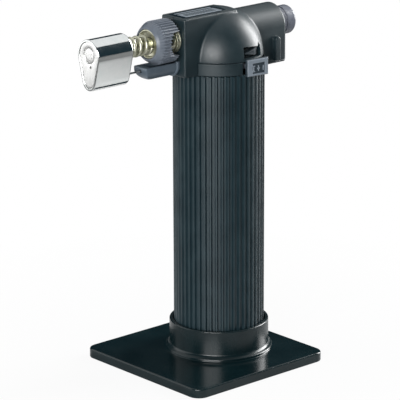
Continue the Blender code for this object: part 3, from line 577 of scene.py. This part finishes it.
def stand():
    """Square plate, hollow and ribbed underneath, with a round socket for the grip on it."""
    thick, edge, socket_floor = PLATE_THICK, 0.6, PLATE_THICK + 0.02
    middle = PLATE_SIDE / 2 - 0.3 * PLATE_CORNER
    corners = [math.atan2(sy * middle, PLATE_SHIFT + sx * middle) for sx in (1, -1) for sy in (1, -1)]
    fine = np.concatenate([c + np.radians(np.linspace(-8, 8, 33)) for c in corners])
    coarse = np.linspace(-math.pi, math.pi, 224, endpoint=False)
    angles = np.unique(np.round(np.concatenate([coarse, fine]), 6))

    def plate(inset, z):
        reach = square_reach(angles, PLATE_SIDE - 2 * inset, PLATE_CORNER - inset, PLATE_SHIFT)
        return np.stack([reach * np.cos(angles), reach * np.sin(angles), np.full_like(angles, z)], 1)

    def circle(r, z):
        return ring_points(r, angles, z, "Z", (0, 0, 0))

    rings = [circle(12.0, 0.0), circle(20.0, 0.0), plate(0.35, 0.0), plate(0.1, 0.1), plate(0.0, 0.35)]
    rings.append(plate(0.0, thick - edge))
    for a in np.radians(np.linspace(15, 90, 6)):
        rings.append(plate(edge * (1 - math.cos(a)), thick - edge + edge * math.sin(a)))
    rings += [plate(edge + 1.0, thick), circle(24.0, thick)]
    socket = [
        (FOOT_RADIUS + 0.5, thick),
        (FOOT_RADIUS, thick + 0.15),
        (FOOT_RADIUS, thick + 1.1),
        (FOOT_RADIUS - 1.0, thick + 1.6),
        (SOCKET_RADIUS, thick + 2.4),
        (SOCKET_RADIUS, SOCKET_TOP),
        (SOCKET_BORE, SOCKET_TOP),
        (SOCKET_BORE, socket_floor),
        (18.0, socket_floor),
    ]
    for r, z in rounded(socket, [0, 0.2, 0.6, 0.6, 0.9, 0.5, 0.3, 0.3, 0], 6, closed=False):
        rings.append(circle(r, z))
    obj = loft("stand_moulding", rings + [circle(10.0, socket_floor)])
    wall, ceiling, rib = 3.5, 1.6, 1.5
    inside = rounded_square(PLATE_SIDE - 2 * wall, wall, PLATE_SHIFT)
    hollow = loft("hollow", [[(x, y, z) for x, y in inside] for z in (-1.0, ceiling)])
    disc = [(0, -2), (FOOT_RADIUS - 1.0, -2), (FOOT_RADIUS - 1.0, 3), (0, 3)]
    rib_x = block("rib_x", (-80, 80), (-rib, rib), (-2, 3))
    rib_y = block("rib_y", (-rib, rib), (-80, 80), (-2, 3))
    cut(hollow, lathe("disc", disc), rib_x, rib_y)
    cut(obj, hollow)
    piece(obj, MAT["gloss"], "stand", ["stand_base"])


def rounded_square(side, radius, shift_x):
    inner = side / 2 - radius
    outline = []
    for sx, sy, start in ((1, 1, 0), (-1, 1, 90), (-1, -1, 180), (1, -1, 270)):
        outline += arc((shift_x + sx * inner, sy * inner), radius, start, start + 90, 6)
    return outline


# ---------------- grip and neck
def smooth_step(low, high, value):
    """0 below low and 1 above high, with an eased rise between them."""
    t = np.clip((value - low) / (high - low), 0, 1)
    return t * t * (3 - 2 * t)


def grip():
    """Ribbed sleeve. drop lowers the ribs a little where they end."""
    pitch = 2 * math.pi / GRIP_RIBS
    first_half = np.array([0, 0.08, 0.13, 0.17, 0.21, 0.25, 0.29, 0.34, 0.42])
    shares = np.concatenate([first_half, [0.5], 1 - first_half[:0:-1]])
    angles = np.concatenate([(k + shares) * pitch for k in range(GRIP_RIBS)])
    away = np.abs((angles / pitch + 0.5) % 1 - 0.5)
    height = 1 - smooth_step(0.12, 0.30, away)

    def ribbed(z, drop=0.0):
        radii = GRIP_ROOT - drop * 0.5 + (RIB_HEIGHT - drop * 0.5) * height
        return ring_points(radii, angles, z, "Z", (0, 0, 0))

    def plain(r, z):
        return ring_points(r, angles, z, "Z", (0, 0, 0))

    bottom, top, bore = GRIP_BOTTOM, GRIP_TOP, GRIP_BORE
    rings = [ribbed(bottom, 0.5)]
    rings += [ribbed(z) for z in (bottom + 0.4, 20.0, 60.0, 100.0, top - 0.3)]
    rings += [ribbed(top - 0.15, 0.12), ribbed(top, 0.4)]
    rings += [plain(bore + 0.5, top), plain(bore + 0.1, top - 0.2), plain(bore, top - 1.2)]
    rings += [plain(bore, bottom + 0.7), plain(bore + 0.3, bottom)]
    obj = loft("grip_ribbed_tube", rings, wrap=True)
    piece(obj, MAT["grip"], "torch", ["grip_sleeve"], angle=50)


def sector_points(inner, outer, start, end, steps=40):
    """Outline of a ring's sector between two angles."""
    return arc((0, 0), outer, start, end, steps) + arc((0, 0), inner, end, start, steps)


def neck():
    """Plain ring under the head, with a slot that the flow lever swings in."""
    top = SEAM_Z - 0.1
    profile = [(NECK_BORE, NECK_BOTTOM), (NECK_RADIUS, NECK_BOTTOM), (NECK_RADIUS, top), (NECK_BORE, top)]
    obj = lathe("neck_collar_ring", rounded(profile, [0.1, 0.25, 0.25, 0.1], 4), segments=192)
    slot_start, slot_end = -100.4, -20
    cut(obj, prism("slot", sector_points(12, 24, slot_start, slot_end), 120, 140))
    piece(obj, MAT["head"], "torch", ["neck_ring"])


# ---------------- head
def head_field(x, y, z):
    """The head's wall: a dome, the burner's block and the button's barrel, less their inside."""

    def dome(radius, rise):
        up = np.maximum(z - SEAM_Z, 0)
        k0 = np.sqrt((x / radius) ** 2 + (y / radius) ** 2 + (up / rise) ** 2)
        k1 = np.sqrt((x / radius**2) ** 2 + (y / radius**2) ** 2 + (up / rise**2) ** 2)
        return k0 * (k0 - 1) / np.maximum(k1, 1e-6)

    def burner_block(wall, radius):
        front, half = BLOCK_FRONT + wall, BLOCK_HALF - wall
        return box_field(x, y, z, (front, -half, BLOCK_BOTTOM + wall), (4.0, half, BLOCK_TOP - wall), radius)

    def barrel(wall, radius):
        up = z - BARREL_CREST
        half, bottom, end = BARREL_HALF - wall, BARREL_BOTTOM + wall, BARREL_END - wall
        flanks = both(np.abs(y) - half, bottom - z, radius)
        section = np.where(up > 0, np.sqrt(y**2 + np.maximum(up, 0) ** 2) - half, flanks)
        return both(section, both(x - end, -2.0 - x), radius)

    outside = smooth_min(dome(DOME_RADIUS, DOME_RISE), burner_block(0.0, 0.75), 0.7)
    outside = smooth_min(outside, barrel(0.0, 0.9), 0.5)
    rib_x, rib_top, rib_reach = 23.7, 134.5, 10.9
    rib = np.sqrt((x - rib_x) ** 2 + np.maximum(z - rib_top, 0) ** 2) - 1.4
    rib = both(both(rib, BARREL_BOTTOM + 1.5 - z, 0.3), np.maximum(y, -y - rib_reach), 0.45)
    outside = smooth_min(outside, rib, 0.25)
    groove_z, groove_front, groove_floor = 125.4, 14, 8.55
    groove = both(both(np.abs(z - groove_z) - 0.22, groove_front - x), groove_floor - np.abs(y))
    outside = np.maximum(outside, -groove)
    inside = dome(DOME_RADIUS - HEAD_WALL, DOME_RISE - HEAD_WALL)
    inside = smooth_min(inside, burner_block(HEAD_WALL, 0.5), 0.4)
    inside = smooth_min(inside, barrel(HEAD_WALL, 0.4), 0.4)
    shell = np.maximum(outside, -inside)
    neck_space = both(np.sqrt(x * x + y * y) - (NECK_RADIUS + 0.4), z - SEAM_Z)
    return np.maximum(shell, -neck_space)


def head():
    """Two halves of the head, parted along y = 0. The left one holds the screws, the right one the window."""
    whole = net("head_moulding_right", head_field, (-25, -18.6, 124.0), (30.0, 18.6, 150.8), 0.3)
    left = whole.copy()
    left.data = whole.data.copy()
    left.name = "head_moulding_left"
    link(left)
    part_gap, bore = 0.12, 6.4
    for obj, side, node in ((whole, -1, "head_shell_right"), (left, 1, "head_shell_left")):
        boolean(obj, "INTERSECT", block("half", (-40, 45), sorted((side * part_gap, side * 40)), (110, 165)))
        seat_end = 26.5
        cutters = [
            hole_x("nozzle_hole", 4.3, -28, -20, NOZZLE_Z, 64),
            hole_x("button_hole", bore, seat_end - 0.5, 34, BUTTON_Z, 96),
            hole_x("button_seat", bore + 0.8, 19.8, seat_end, BUTTON_Z, 96),
            prism("arm_hole", arm_section(0.3), -28, -19.3, "X"),
            block("label_recess", (-23.1, -0.3), (-5.0, 5.0), (LABEL_Z - 0.3, 160)),
        ]
        if side < 0:
            cutters.append(prism("window", WINDOW, -25, -13, "Y"))
        else:
            for x, z, seat in SCREWS:
                boolean(obj, "UNION", cross_rod("boss", x, z, 2.6, 0.15, seat))
                cutters.append(cross_rod("hole", x, z, 1.15, 0.0, 30))
                cutters.append(cross_rod("counterbore", x, z, 2.1, seat, 30))
        cut(obj, *cutters)
        piece(obj, MAT["head"], "torch", [node], angle=32)


def hole_x(name, radius, low, high, height, segments):
    """Rod along X at that height, to cut a hole with."""
    return lathe(name, [(0, low), (radius, low), (radius, high), (0, high)], "X", (0, 0, height), segments)


def cross_rod(name, x, z, radius, low, high, segments=48):
    """Rod along Y through that x and z."""
    return prism(name, arc((x, z), radius, 0, 360 - 360 / segments, segments - 1), low, high, "Y")


def arm_section(grow):
    """Outline of the arm, flat on top and round below, widened by grow."""
    half, top = ARM_HALF + grow, ARM_TOP + grow
    return [(half, top), (-half, top), *arc((0.0, WIRE_Z + 0.2), half, 180, 360, 16)]


def screws():
    """Pan-head screws with a cross slot."""
    shank, head_radius, tip = 0.85, 1.8, -4.5
    lie = Matrix.Rotation(math.radians(-90), 4, "X")
    for k, (x, z, seat) in enumerate(SCREWS):
        low = seat + 0.1
        profile = [(0, tip), (shank, tip), (shank, low), (head_radius, low), (head_radius, low + 0.7)]
        profile += [(head_radius - 0.5, low + 1.25), (0, low + 1.4)]
        path = rounded(profile, [0, 0.2, 0, 0.15, 0.3, 0.4, 0], 4, closed=False)
        obj = lathe(f"screw_{k + 1}", path, segments=48)
        place = Matrix.Translation((x * MM, 0, z * MM)) @ lie
        obj.data.transform(place)
        for a in (20, 110):
            slot = block("slot", (-1.1, 1.1), (-0.28, 0.28), (low + 0.7, low + 3))
            slot.data.transform(place @ Matrix.Rotation(math.radians(a), 4, "Z"))
            cut(obj, slot)
        piece(obj, MAT["steel"], "torch", [f"head_screw_{k + 1}"])


def relief(name, us, vs, height, place, base):
    """Closed plate whose face is a height map: place(u, v, h) gives the point, base is the back's h."""
    uu, vv = np.meshgrid(us, vs, indexing="ij")
    top = place(uu, vv, height(uu, vv))
    low = place(uu, vv, np.full_like(uu, base))
    nu, nv = uu.shape
    verts = np.concatenate([np.stack(top, -1).reshape(-1, 3), np.stack(low, -1).reshape(-1, 3)])
    faces = []
    shift = nu * nv
    for i in range(nu - 1):
        for j in range(nv - 1):
            a, b, c, d = i * nv + j, (i + 1) * nv + j, (i + 1) * nv + j + 1, i * nv + j + 1
            faces.append((a, b, c, d))
            faces.append((d + shift, c + shift, b + shift, a + shift))
    edge = [i * nv for i in range(nu)] + [(nu - 1) * nv + j for j in range(1, nv)]
    edge += [i * nv + nv - 1 for i in range(nu - 2, -1, -1)] + [j for j in range(nv - 2, 0, -1)]
    for a, b in zip(edge, edge[1:] + edge[:1]):
        faces.append((b, a, a + shift, b + shift))
    return object_of(name, verts, faces)


def label():
    """Foil plate with an eased edge and a sunk line round it."""
    start, end = LABEL_X

    def height(u, v):
        edge = np.minimum.reduce([u - start, end - u, v + LABEL_HALF, LABEL_HALF - v])
        frame_line = smooth_step(0.45, 0.6, edge) * (1 - smooth_step(0.75, 0.9, edge))
        return 0.34 + 0.06 * smooth_step(0.0, 0.12, edge) - 0.08 * frame_line

    us, vs = np.linspace(start, end, 223), np.linspace(-LABEL_HALF, LABEL_HALF, 95)
    obj = relief("label_plate_foil", us, vs, height, lambda u, v, h: (u, v, LABEL_Z + h), 0.0)
    piece(obj, MAT["label"], "torch", ["label_plate"], weighted=False)


# ---------------- burner
def teardrop(inset):
    """The shroud's section as (y, z) from the nozzle: big arc above, small arc below, straight flanks."""
    big, small, drop = 6.5 - inset, 4.0 - inset, 10.3
    lean = math.degrees(math.asin((big - small) / drop))
    top = arc((0.0, 0.0), big, -lean, 180 + lean, 40)
    bottom = arc((0.0, -drop), small, 180 + lean, 360 - lean, 20)

    def between(a, b):
        return [(a[0] + (b[0] - a[0]) * k / 10, a[1] + (b[1] - a[1]) * k / 10) for k in range(1, 10)]

    return top + between(top[-1], bottom[0]) + bottom + between(bottom[-1], top[0])


def spun_x(name, profile, radii, steps, height=NOZZLE_Z, segments=96):
    """Turned piece about X at that height, with the corners of its profile rounded."""
    return lathe(name, rounded(profile, radii, steps), "X", (0, 0, height), segments)


def shroud():
    """Chromed shell, open in front, with the burner tube and the spark wire coming in through its back."""
    front, back, wall, back_thick, tube_radius = SHROUD_FRONT, SHROUD_REAR, SHROUD_WALL, 0.8, 2.6

    def ring(inset, x):
        return [(x, y, NOZZLE_Z + z) for y, z in teardrop(inset)]

    section = [
        (2.6, back),
        (0.0, back),
        (0.0, front),
        (0.85, front),
        (0.85, front + 0.45),
        (wall, front + 0.9),
        (wall, back - back_thick),
        (2.6, back - back_thick),
    ]
    path = rounded(section, [0, 0.9, 0.7, 0.12, 0.1, 0.2, 0.4, 0], 7, closed=False)
    obj = loft("flame_shroud_shell", [ring(i, x) for i, x in path], wrap=True)
    back_plate = loft("back", [ring(2.3, back), ring(2.3, back - back_thick)])
    boolean(obj, "UNION", back_plate)
    cut(obj, hole_x("tube_hole", tube_radius, -53, -48, NOZZLE_Z, 64))
    cut(obj, hole_x("wire_hole", 0.9, -53, -48, WIRE_Z, 32))
    piece(obj, MAT["chrome"], "torch", ["flame_shroud"])


def burner_front():
    """Pressed front plate, whose middle is drawn in to the flame's mouth round the flame holder."""
    front, mouth_radius = SHROUD_FRONT, 3.2
    outer = np.array(teardrop(0.93))
    angles = np.arctan2(outer[:, 1], outer[:, 0])
    mouth = mouth_radius * np.stack([np.cos(angles), np.sin(angles)], 1)

    def ring(share, x):
        yz = outer + (mouth - outer) * share
        return [(x, y, NOZZLE_Z + z) for y, z in yz]

    path = [(0.0, front + 0.5), (0.03, front + 0.3), (0.10, front + 0.22), (0.5, front + 0.22)]
    path += [(0.85, front + 0.28), (0.96, front + 0.34), (1.0, front + 0.6), (1.0, front + 1.1)]
    path += [(0.9, front + 1.1), (0.8, front + 1.1), (0.0, front + 0.95)]
    obj = loft("burner_front_plate", [ring(share, x) for share, x in path], wrap=True)
    cut(obj, prism("spark_hole", arc((-1.0, 136.4), 0.6, 0, 345, 23), -80, -60, "X"))
    piece(obj, MAT["front"], "torch", ["flame_plate"])


def flame_tube():
    """Lining behind the mouth, and the flame holder in it with six ports and a gap at the spark's side."""
    front = SHROUD_FRONT
    path = [(3.1, front + 1.9), (3.3, front + 1.45), (3.8, front + 1.45), (3.8, -53.0)]
    path += [(2.6, -53.0), (2.6, -53.6), (3.1, -54.2)]
    piece(spun_x("flame_tube_lining", path, 0.1, 3), MAT["front"], "torch", ["flame_tube"])
    path = [(0.0, front + 0.38), (1.5, front + 0.40), (2.6, front + 0.46), (3.08, front + 0.7)]
    path += [(3.08, front + 1.15), (2.8, front + 1.15), (2.8, front + 2.2), (0.0, front + 2.2)]
    path = rounded(path, [0, 1.0, 0.5, 0.1, 0.1, 0.1, 0.1, 0], 5, closed=False)
    disc = lathe("flame_holder_disc", path, "X", (0, 0, NOZZLE_Z))
    ports, port_circle, port_radius = 6, 1.7, 0.18
    for k in range(ports):
        a = math.radians(360 / ports * (k + 0.5))
        place = (port_circle * math.cos(a), NOZZLE_Z + port_circle * math.sin(a))
        cut(disc, prism("port", arc(place, port_radius, 0, 330, 11), -70, -64, "X"))
    sector = [(y, NOZZLE_Z + z) for y, z in sector_points(2.72, 3.3, 148, 190, 16)]
    cut(disc, prism("gap", sector, -70, -67.5, "X"))
    piece(disc, MAT["front"], "torch", ["flame_holder"])


def collar():
    """Air collar: ribbed barrel with a plain cone in front, hollow in front round the spring's dish."""
    pitch = 2 * math.pi / COLLAR_RIBS
    radius, front, back, rib_depth = 9.0, -38.9, -27.7, 0.75
    profile = [
        (5.3, back),
        (radius, back),
        (radius, -35.3),
        (8.35, -36.4),
        (7.4, -38.0),
        (6.6, front),
        (6.1, front),
        (6.1, -36.1),
        (2.7, -36.1),
        (2.7, -34.2),
        (5.3, -34.2),
    ]
    path = rounded(profile, [0.2, 0.2, 0.3, 0.5, 0.5, 0.25, 0.15, 0.1, 0.1, 0.1, 0.1], 4)
    fine = []
    for a, b in zip(path, path[1:] + path[:1]):
        fine.append(a)
        if a[0] > 8 and b[0] > 8 and abs(a[1] - b[1]) > 1.5:
            for t in (0.03, 0.08, 0.5, 0.9, 0.96):
                fine.append((a[0] + (b[0] - a[0]) * t, a[1] + (b[1] - a[1]) * t))

    def shape(r, k, angles):
        amount = np.interp(fine[k][1], [-36.2, -35.3, -28.0, -27.8], [0, 1, 1, 0.6]) * (r > 8)
        away = np.abs((angles / pitch + 0.5) % 1 - 0.5)
        return r - rib_depth * amount * smooth_step(0.14, 0.34, away)

    obj = lathe("air_collar_knurled", fine, "X", (0, 0, NOZZLE_Z), COLLAR_RIBS * 14, shape)
    notch_x, notch_depth, notch_half = -28.8, 4.2, 5.0
    outline = [(notch_x + notch_depth * a, NOZZLE_Z + notch_half * b) for a, b in arc((0, 0), 1, 90, 270, 40)]
    outline += [(-26, NOZZLE_Z - notch_half), (-26, NOZZLE_Z + notch_half)]
    for low, high in ((-20, -0.5), (0.5, 20)):
        cut(obj, prism("notch", outline, low, high, "Y"))
    piece(obj, MAT["grey"], "air_collar", ["air_collar"])


def turned_parts():
    """Nozzle flange, the spring's dish, the burner tube with its air hole, and the push button."""
    path = [(1.0, -13.0), (4.0, -13.0), (4.0, -25.0), (5.6, -25.0), (5.6, -25.7)]
    path += [(4.9, -25.9), (4.9, -26.3), (5.6, -26.5), (5.6, -27.2), (1.0, -27.2)]
    piece(spun_x("nozzle_flange", path, 0.15, 3), MAT["brass"], "torch", ["nozzle_base"])
    path = [(2.6, -36.4), (5.9, -36.4), (5.9, -38.55), (5.45, -38.6), (5.0, -37.4), (2.6, -37.0)]
    obj = spun_x("spring_dish", path, [0.1, 0.3, 0.12, 0.12, 0.5, 0.1], 5)
    piece(obj, MAT["brass"], "torch", ["collar_retainer"])
    path = [(4.0, -27.5), (5.0, -27.5), (5.0, -33.8), (2.3, -33.8)]
    path += [(2.3, -54.5), (1.7, -54.5), (1.7, -32.5), (4.0, -32.5)]
    obj = spun_x("burner_tube_brass", path, 0.12, 3)
    cut(obj, cross_rod("air_hole", -30.0, NOZZLE_Z, 1.5, -10, 10))
    piece(obj, MAT["brass"], "torch", ["burner_tube"])
    radius, bore, flange = 6.1, 4.75, 6.9
    path = [(bore, 24.6), (flange, 24.6), (flange, 26.2), (radius, 26.2), (radius, 32.9)]
    path += [(radius - 0.35, 33.1), (radius - 0.35, 33.5), (radius, 33.7), (radius, 38.25)]
    path += [(4.2, 38.55), (0.0, 38.8), (0.0, 31.2), (bore, 31.2)]
    radii = [0.1, 0.2, 0.2, 0.1, 0.1, 0.05, 0.05, 0.15, 0.9, 6.0, 0, 0, 0.2]
    obj = spun_x("push_button", path, radii, 8, BUTTON_Z, 128)
    piece(obj, MAT["button"], "ignition_button", ["ignition_button"])


def helix(across, start, end, turns, height, phase=0.0):
    """Points along X on a spring's centre line."""
    points, count = [], 240
    for k in range(count + 1):
        angle = phase + 2 * math.pi * turns * k / count
        along = start + (end - start) * k / count
        points.append((along, across * math.cos(angle), height + across * math.sin(angle)))
    return points


def springs():
    """Heat spring on the burner tube, and two hidden springs, one for the button and one for the stem."""
    heat = tube("heat_spring_coil", helix(3.6, -38.9, -49.4, 3.45, NOZZLE_Z, math.radians(200)), 0.72, 20)
    piece(heat, MAT["brass"], "torch", ["heat_spring"], weighted=False)
    button = tube("button_spring_coil", helix(4.1, 22.7, 30.6, 5, BUTTON_Z), 0.28, 10)
    piece(button, MAT["steel"], "torch", ["button_spring"], weighted=False)
    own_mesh(button)
    filler = [(y, z, along) for along, y, z in helix(1.9, 10.4, 16.2, 5, 0)]
    filler = tube("fill_valve_spring_coil", filler, 0.2, 8)
    piece(filler, MAT["steel"], "torch", ["fill_valve_spring"], weighted=False)
    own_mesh(filler)


def arm():
    """Open trough under the burner, with a flange where it leaves the head and a hole for the spark wire."""
    nose_centre, nose_radius, rear, flange = -37.5, 4.9, -19.6, (-26.4, -25.0)
    trough_half, trough_floor, trough_end = 3.0, 129.4, -39.6

    def field(x, y, z):
        under = np.sqrt(y**2 + np.minimum(z - WIRE_Z, 0) ** 2)
        body = np.maximum(both(np.abs(y) - ARM_HALF, z - ARM_TOP, 0.2), under - ARM_HALF)
        body = both(body, both(ARM_NOSE - x, x - rear), 0.35)
        nose = np.sqrt(np.maximum(nose_centre - x, 0) ** 2 + np.minimum(z - 131.1, 0) ** 2) - nose_radius
        body = both(body, nose, 0.35)
        root = both(under - ARM_HALF - 0.5, z - ARM_TOP - 0.4, 0.3)
        root = both(root, both(flange[0] - x, x - flange[1]), 0.4)
        trough = both(both(np.abs(y) - trough_half, trough_floor - z, 0.6), both(trough_end - x, x + 10))
        return both(np.minimum(body, root), -trough, 0.2)

    obj = net("electrode_trough", field, (-42.6, -4.7, 125.5), (-19.5, 4.7, 132.5), 0.2)
    cut(obj, hole_x("hole", 0.8, -50, -38, WIRE_Z, 32))
    piece(obj, MAT["arm"], "torch", ["electrode_arm"])


# ---------------- flow lever
def lever():
    """Flat thumb tab with a sunk panel of plus and minus strokes, on an arm from the valve's hub."""
    along = (-math.sin(TAB_ANGLE), math.cos(TAB_ANGLE))
    bevel, sunk, raised = 0.45, 0.45, 0.38
    middle, half_stroke = TAB_BOTTOM + 3.15, 0.34

    def stroke(u, v, at_u, at_v, half_long, half_high):
        return np.minimum(half_long - np.abs(u - at_u), half_high - np.abs(v - at_v))

    def height(u, v):
        edge = np.minimum(np.minimum(u, TAB_LENGTH - u), np.minimum(v - TAB_BOTTOM, TAB_TOP - v))
        panel = np.minimum(u - 2.5, TAB_LENGTH - 1.7 - u)
        panel = np.minimum(panel, np.minimum(v - TAB_BOTTOM - 0.9, TAB_TOP - 1.7 - v))
        uprights = [stroke(u, v, at, middle, 0.36, 1.2) for at in (3.2, 5.6, 8.0)]
        caps = [stroke(u, v, 3.2, middle + up, 0.75, half_stroke) for up in (-1.1, 1.1)]
        mark = np.maximum.reduce([*uprights, *caps, stroke(u, v, 5.6, middle, 0.8, half_stroke)])
        h = TAB_FACE - bevel * (1 - smooth_step(0.0, 0.45, edge))
        return h - sunk * smooth_step(0.0, 0.25, panel) + raised * smooth_step(0.0, 0.2, mark)

    def place(u, v, h):
        return h * math.cos(TAB_ANGLE) + u * along[0], h * math.sin(TAB_ANGLE) + u * along[1], v

    us, vs = np.linspace(0.0, TAB_LENGTH, 145), np.linspace(TAB_BOTTOM, TAB_TOP, 97)
    tab = relief("flow_lever_tab", us, vs, height, place, TAB_BACK)
    piece(tab, MAT["lever"], "flow_lever", ["flow_lever"], weighted=False)
    bore, radius, hub_bottom, hub_top = 4.7, 7.6, 121.9, 128.2
    profile = [(bore, hub_bottom), (radius, hub_bottom), (radius, hub_top), (bore, hub_top)]
    hub = lathe("flow_lever_hub", rounded(profile, 0.3, 4))
    outer = []
    for angle in (math.radians(LEVER_END), math.radians(LEVER_START)):
        reach = (TAB_BACK + 0.4) / math.cos(angle - TAB_ANGLE)
        outer.append((reach * math.cos(angle), reach * math.sin(angle)))
    outline = arc((0, 0), 7.0, LEVER_START, LEVER_END, 8) + outer
    boolean(hub, "UNION", prism("reach", outline, 126.3, hub_top - 0.1))
    piece(hub, MAT["grey"], "flow_lever")


def scale_plate():
    """Near-black insert behind the window, and the raised outline of a wedge on it that shows more and less.
    Their dark tones are partly the pieces' own colour and partly painted shade inside the window.
    """
    face, back = 15.3, 14.6
    us, vs = np.radians(np.linspace(-114, -44, 71)), np.linspace(130.9, 135.2, 13)

    def place(u, v, h):
        return h * np.cos(u), h * np.sin(u), v

    obj = relief("flow_scale_inset", us, vs, lambda u, v: np.full_like(u, face), place, back)
    piece(obj, MAT["inset"], "torch", ["flow_scale_plate"], weighted=False)
    middle, tip, wide = 133.7, -1.0, 7.2
    outline = [(tip, middle - 0.15), (wide, middle - 1.75), (wide, middle + 1.75), (tip, middle + 0.15)]
    inner = [(tip + 2.2, middle), (wide - 0.6, middle - 0.95), (wide - 0.6, middle + 0.95)]
    wedge = prism("flow_scale_wedge", outline, -17.3, -15.0, "Y")
    cut(wedge, prism("inner", inner, -20, -16.2, "Y"))
    shell = lathe("shell", [(0, 120), (16.9, 120), (16.9, 140), (0, 140)], segments=128)
    boolean(wedge, "INTERSECT", shell)
    piece(wedge, MAT["wedge"], "torch")


# ---------------- carried-over CAD pieces
def paint_cad_nodes():
    """Hidden pieces that are shown with their CAD shape."""
    finish = {
        "tank": ["tank_cup", "tank_lid", "piezo_case"],
        "rubber": ["tank_seal", "fill_valve_seal", "valve_gland", "ignition_lead"],
        "grip": ["base_cap"],
        "brass": [
            "fill_valve_body",
            "outlet_valve_body",
            "outlet_valve_stem",
            "valve_coupling",
            "gas_pipe",
            "gas_jet",
        ],
        "steel": ["fill_valve_stem", "outlet_valve_spring", "electrode", "piezo_clip", "piezo_plunger"],
        "felt": ["fuel_wick"],
        "ceramic": ["electrode_insulator"],
    }
    for key, nodes in finish.items():
        for node in nodes:
            for slot in NODES[node].material_slots:
                slot.material = MAT[key]


# ---------------- floor, light and camera
def area_light(name, place, target, size, radiance):
    """Rectangular light that faces its target, as bright per area as the radiance says."""
    data = bpy.data.lights.new(name, "AREA")
    data.shape = "RECTANGLE"
    data.size, data.size_y = size
    data.energy = radiance * math.pi * size[0] * size[1]
    obj = bpy.data.objects.new(name, data)
    obj.location = place
    obj.rotation_euler = (Vector(target) - Vector(place)).to_track_quat("-Z", "Y").to_euler()
    obj.visible_camera = False
    link(obj)


def soft_light(name, azimuth, elevation, size, radiance, distance=1.2, aim=(0, 0, 0.12)):
    """Softbox at that azimuth from +X, elevation and distance from its aim. Metres and degrees."""
    a, e = math.radians(azimuth), math.radians(elevation)
    away = Vector((math.cos(a) * math.cos(e), math.sin(a) * math.cos(e), math.sin(e))) * distance
    area_light(name, Vector(aim) + away, aim, size, radiance)


def floor():
    """Paper disc that darkens outwards. The camera sees it nearly white, and light sees its own tone."""
    paper, table, fade = 0.53, 0.14, (0.145, 0.200)
    near_white, white_from, white_to = 0.93, 0.06, 0.18
    disc = loft("floor_paper", [[(x, y, z) for x, y in arc((0, 0), 1500, 0, 357, 119)] for z in (-2.1, -0.1)])
    m = Nodes("floor_paper")
    apart = m.make("ShaderNodeVectorMath", "Value", {0: m.place}, operation="LENGTH")
    tone = m.mix(m.spread(apart, *fade), (paper, paper, paper), (table, table, table))
    fibre = m.mix(m.noise(2.0, 3.0), (0.95, 0.95, 0.95), (1.0, 1.0, 1.0))
    m.into("Base Color", m.mix(1.0, tone, fibre, "MULTIPLY"))
    m.into("Normal", m.bump(m.noise(0.6, 2.0), 0.01))
    m.set(Roughness=0.9, Specular_IOR_Level=0.1)
    white = m.make("ShaderNodeEmission", 0, {})
    for_camera = m.make("ShaderNodeLightPath", "Is Camera Ray", {})
    share = m.math("MULTIPLY", for_camera, m.spread(apart, white_from, white_to, near_white, 1.0))
    surface = m.make("ShaderNodeMixShader", 0, {0: share, 1: m.shader.outputs[0], 2: white})
    m.feed(m.tree.nodes["Material Output"].inputs["Surface"], surface)
    disc.data.materials.append(m.material)


def backdrop():
    """White for the camera, and a dim room for everything else."""
    world = bpy.data.worlds.new("studio")
    world.use_nodes = True
    bpy.context.scene.world = world
    tree = world.node_tree
    tree.nodes.clear()
    out = tree.nodes.new("ShaderNodeOutputWorld")
    mix = tree.nodes.new("ShaderNodeMixShader")
    path = tree.nodes.new("ShaderNodeLightPath")
    tree.links.new(path.outputs["Is Camera Ray"], mix.inputs["Fac"])
    for socket, colour in ((1, (0.012, 0.027, 0.036, 1)), (2, (1, 1, 1, 1))):
        background = tree.nodes.new("ShaderNodeBackground")
        background.inputs["Color"].default_value = colour
        tree.links.new(background.outputs[0], mix.inputs[socket])
    tree.links.new(mix.outputs[0], out.inputs["Surface"])


def studio():
    floor()
    backdrop()
    shroud_front = (SHROUD_FRONT * MM, 0, 0.14)
    soft_light("key_right", -11, 17, (0.55, 0.95), 19.5)
    soft_light("front_left", -148, 12, (0.80, 0.52), 14.0)
    soft_light("left_card", 132, 5, (0.50, 0.28), 1.75, 0.42, shroud_front)
    area_light("overhead", (0.4, 0.575, 1.14), (0.4, 0.575, 0), (2.2, 2.05), 0.85)
    bpy.context.scene.view_settings.view_transform = "Standard"


def camera():
    """At the photo's angle: azimuth 228 and elevation 16.6 degrees, turned a little about its own axis."""
    place, target, roll = (-0.7134, -0.7906, 0.3855), Vector((-0.00791, 0.00286, 0.06891)), -0.19
    data = bpy.data.cameras.new("camera")
    data.sensor_width = 36.0
    data.lens = 239.54
    data.clip_end = 20.0
    obj = bpy.data.objects.new("camera", data)
    obj.location = place
    facing = (target - obj.location).to_track_quat("-Z", "Y").to_matrix()
    obj.rotation_euler = (facing @ Matrix.Rotation(math.radians(roll), 3, "Z")).to_euler()
    link(obj)
    bpy.context.scene.camera = obj


camera()
stand()
grip()
neck()
head()
screws()
label()
shroud()
burner_front()
flame_tube()
collar()
turned_parts()
springs()
arm()
lever()
scale_plate()
paint_cad_nodes()
studio()
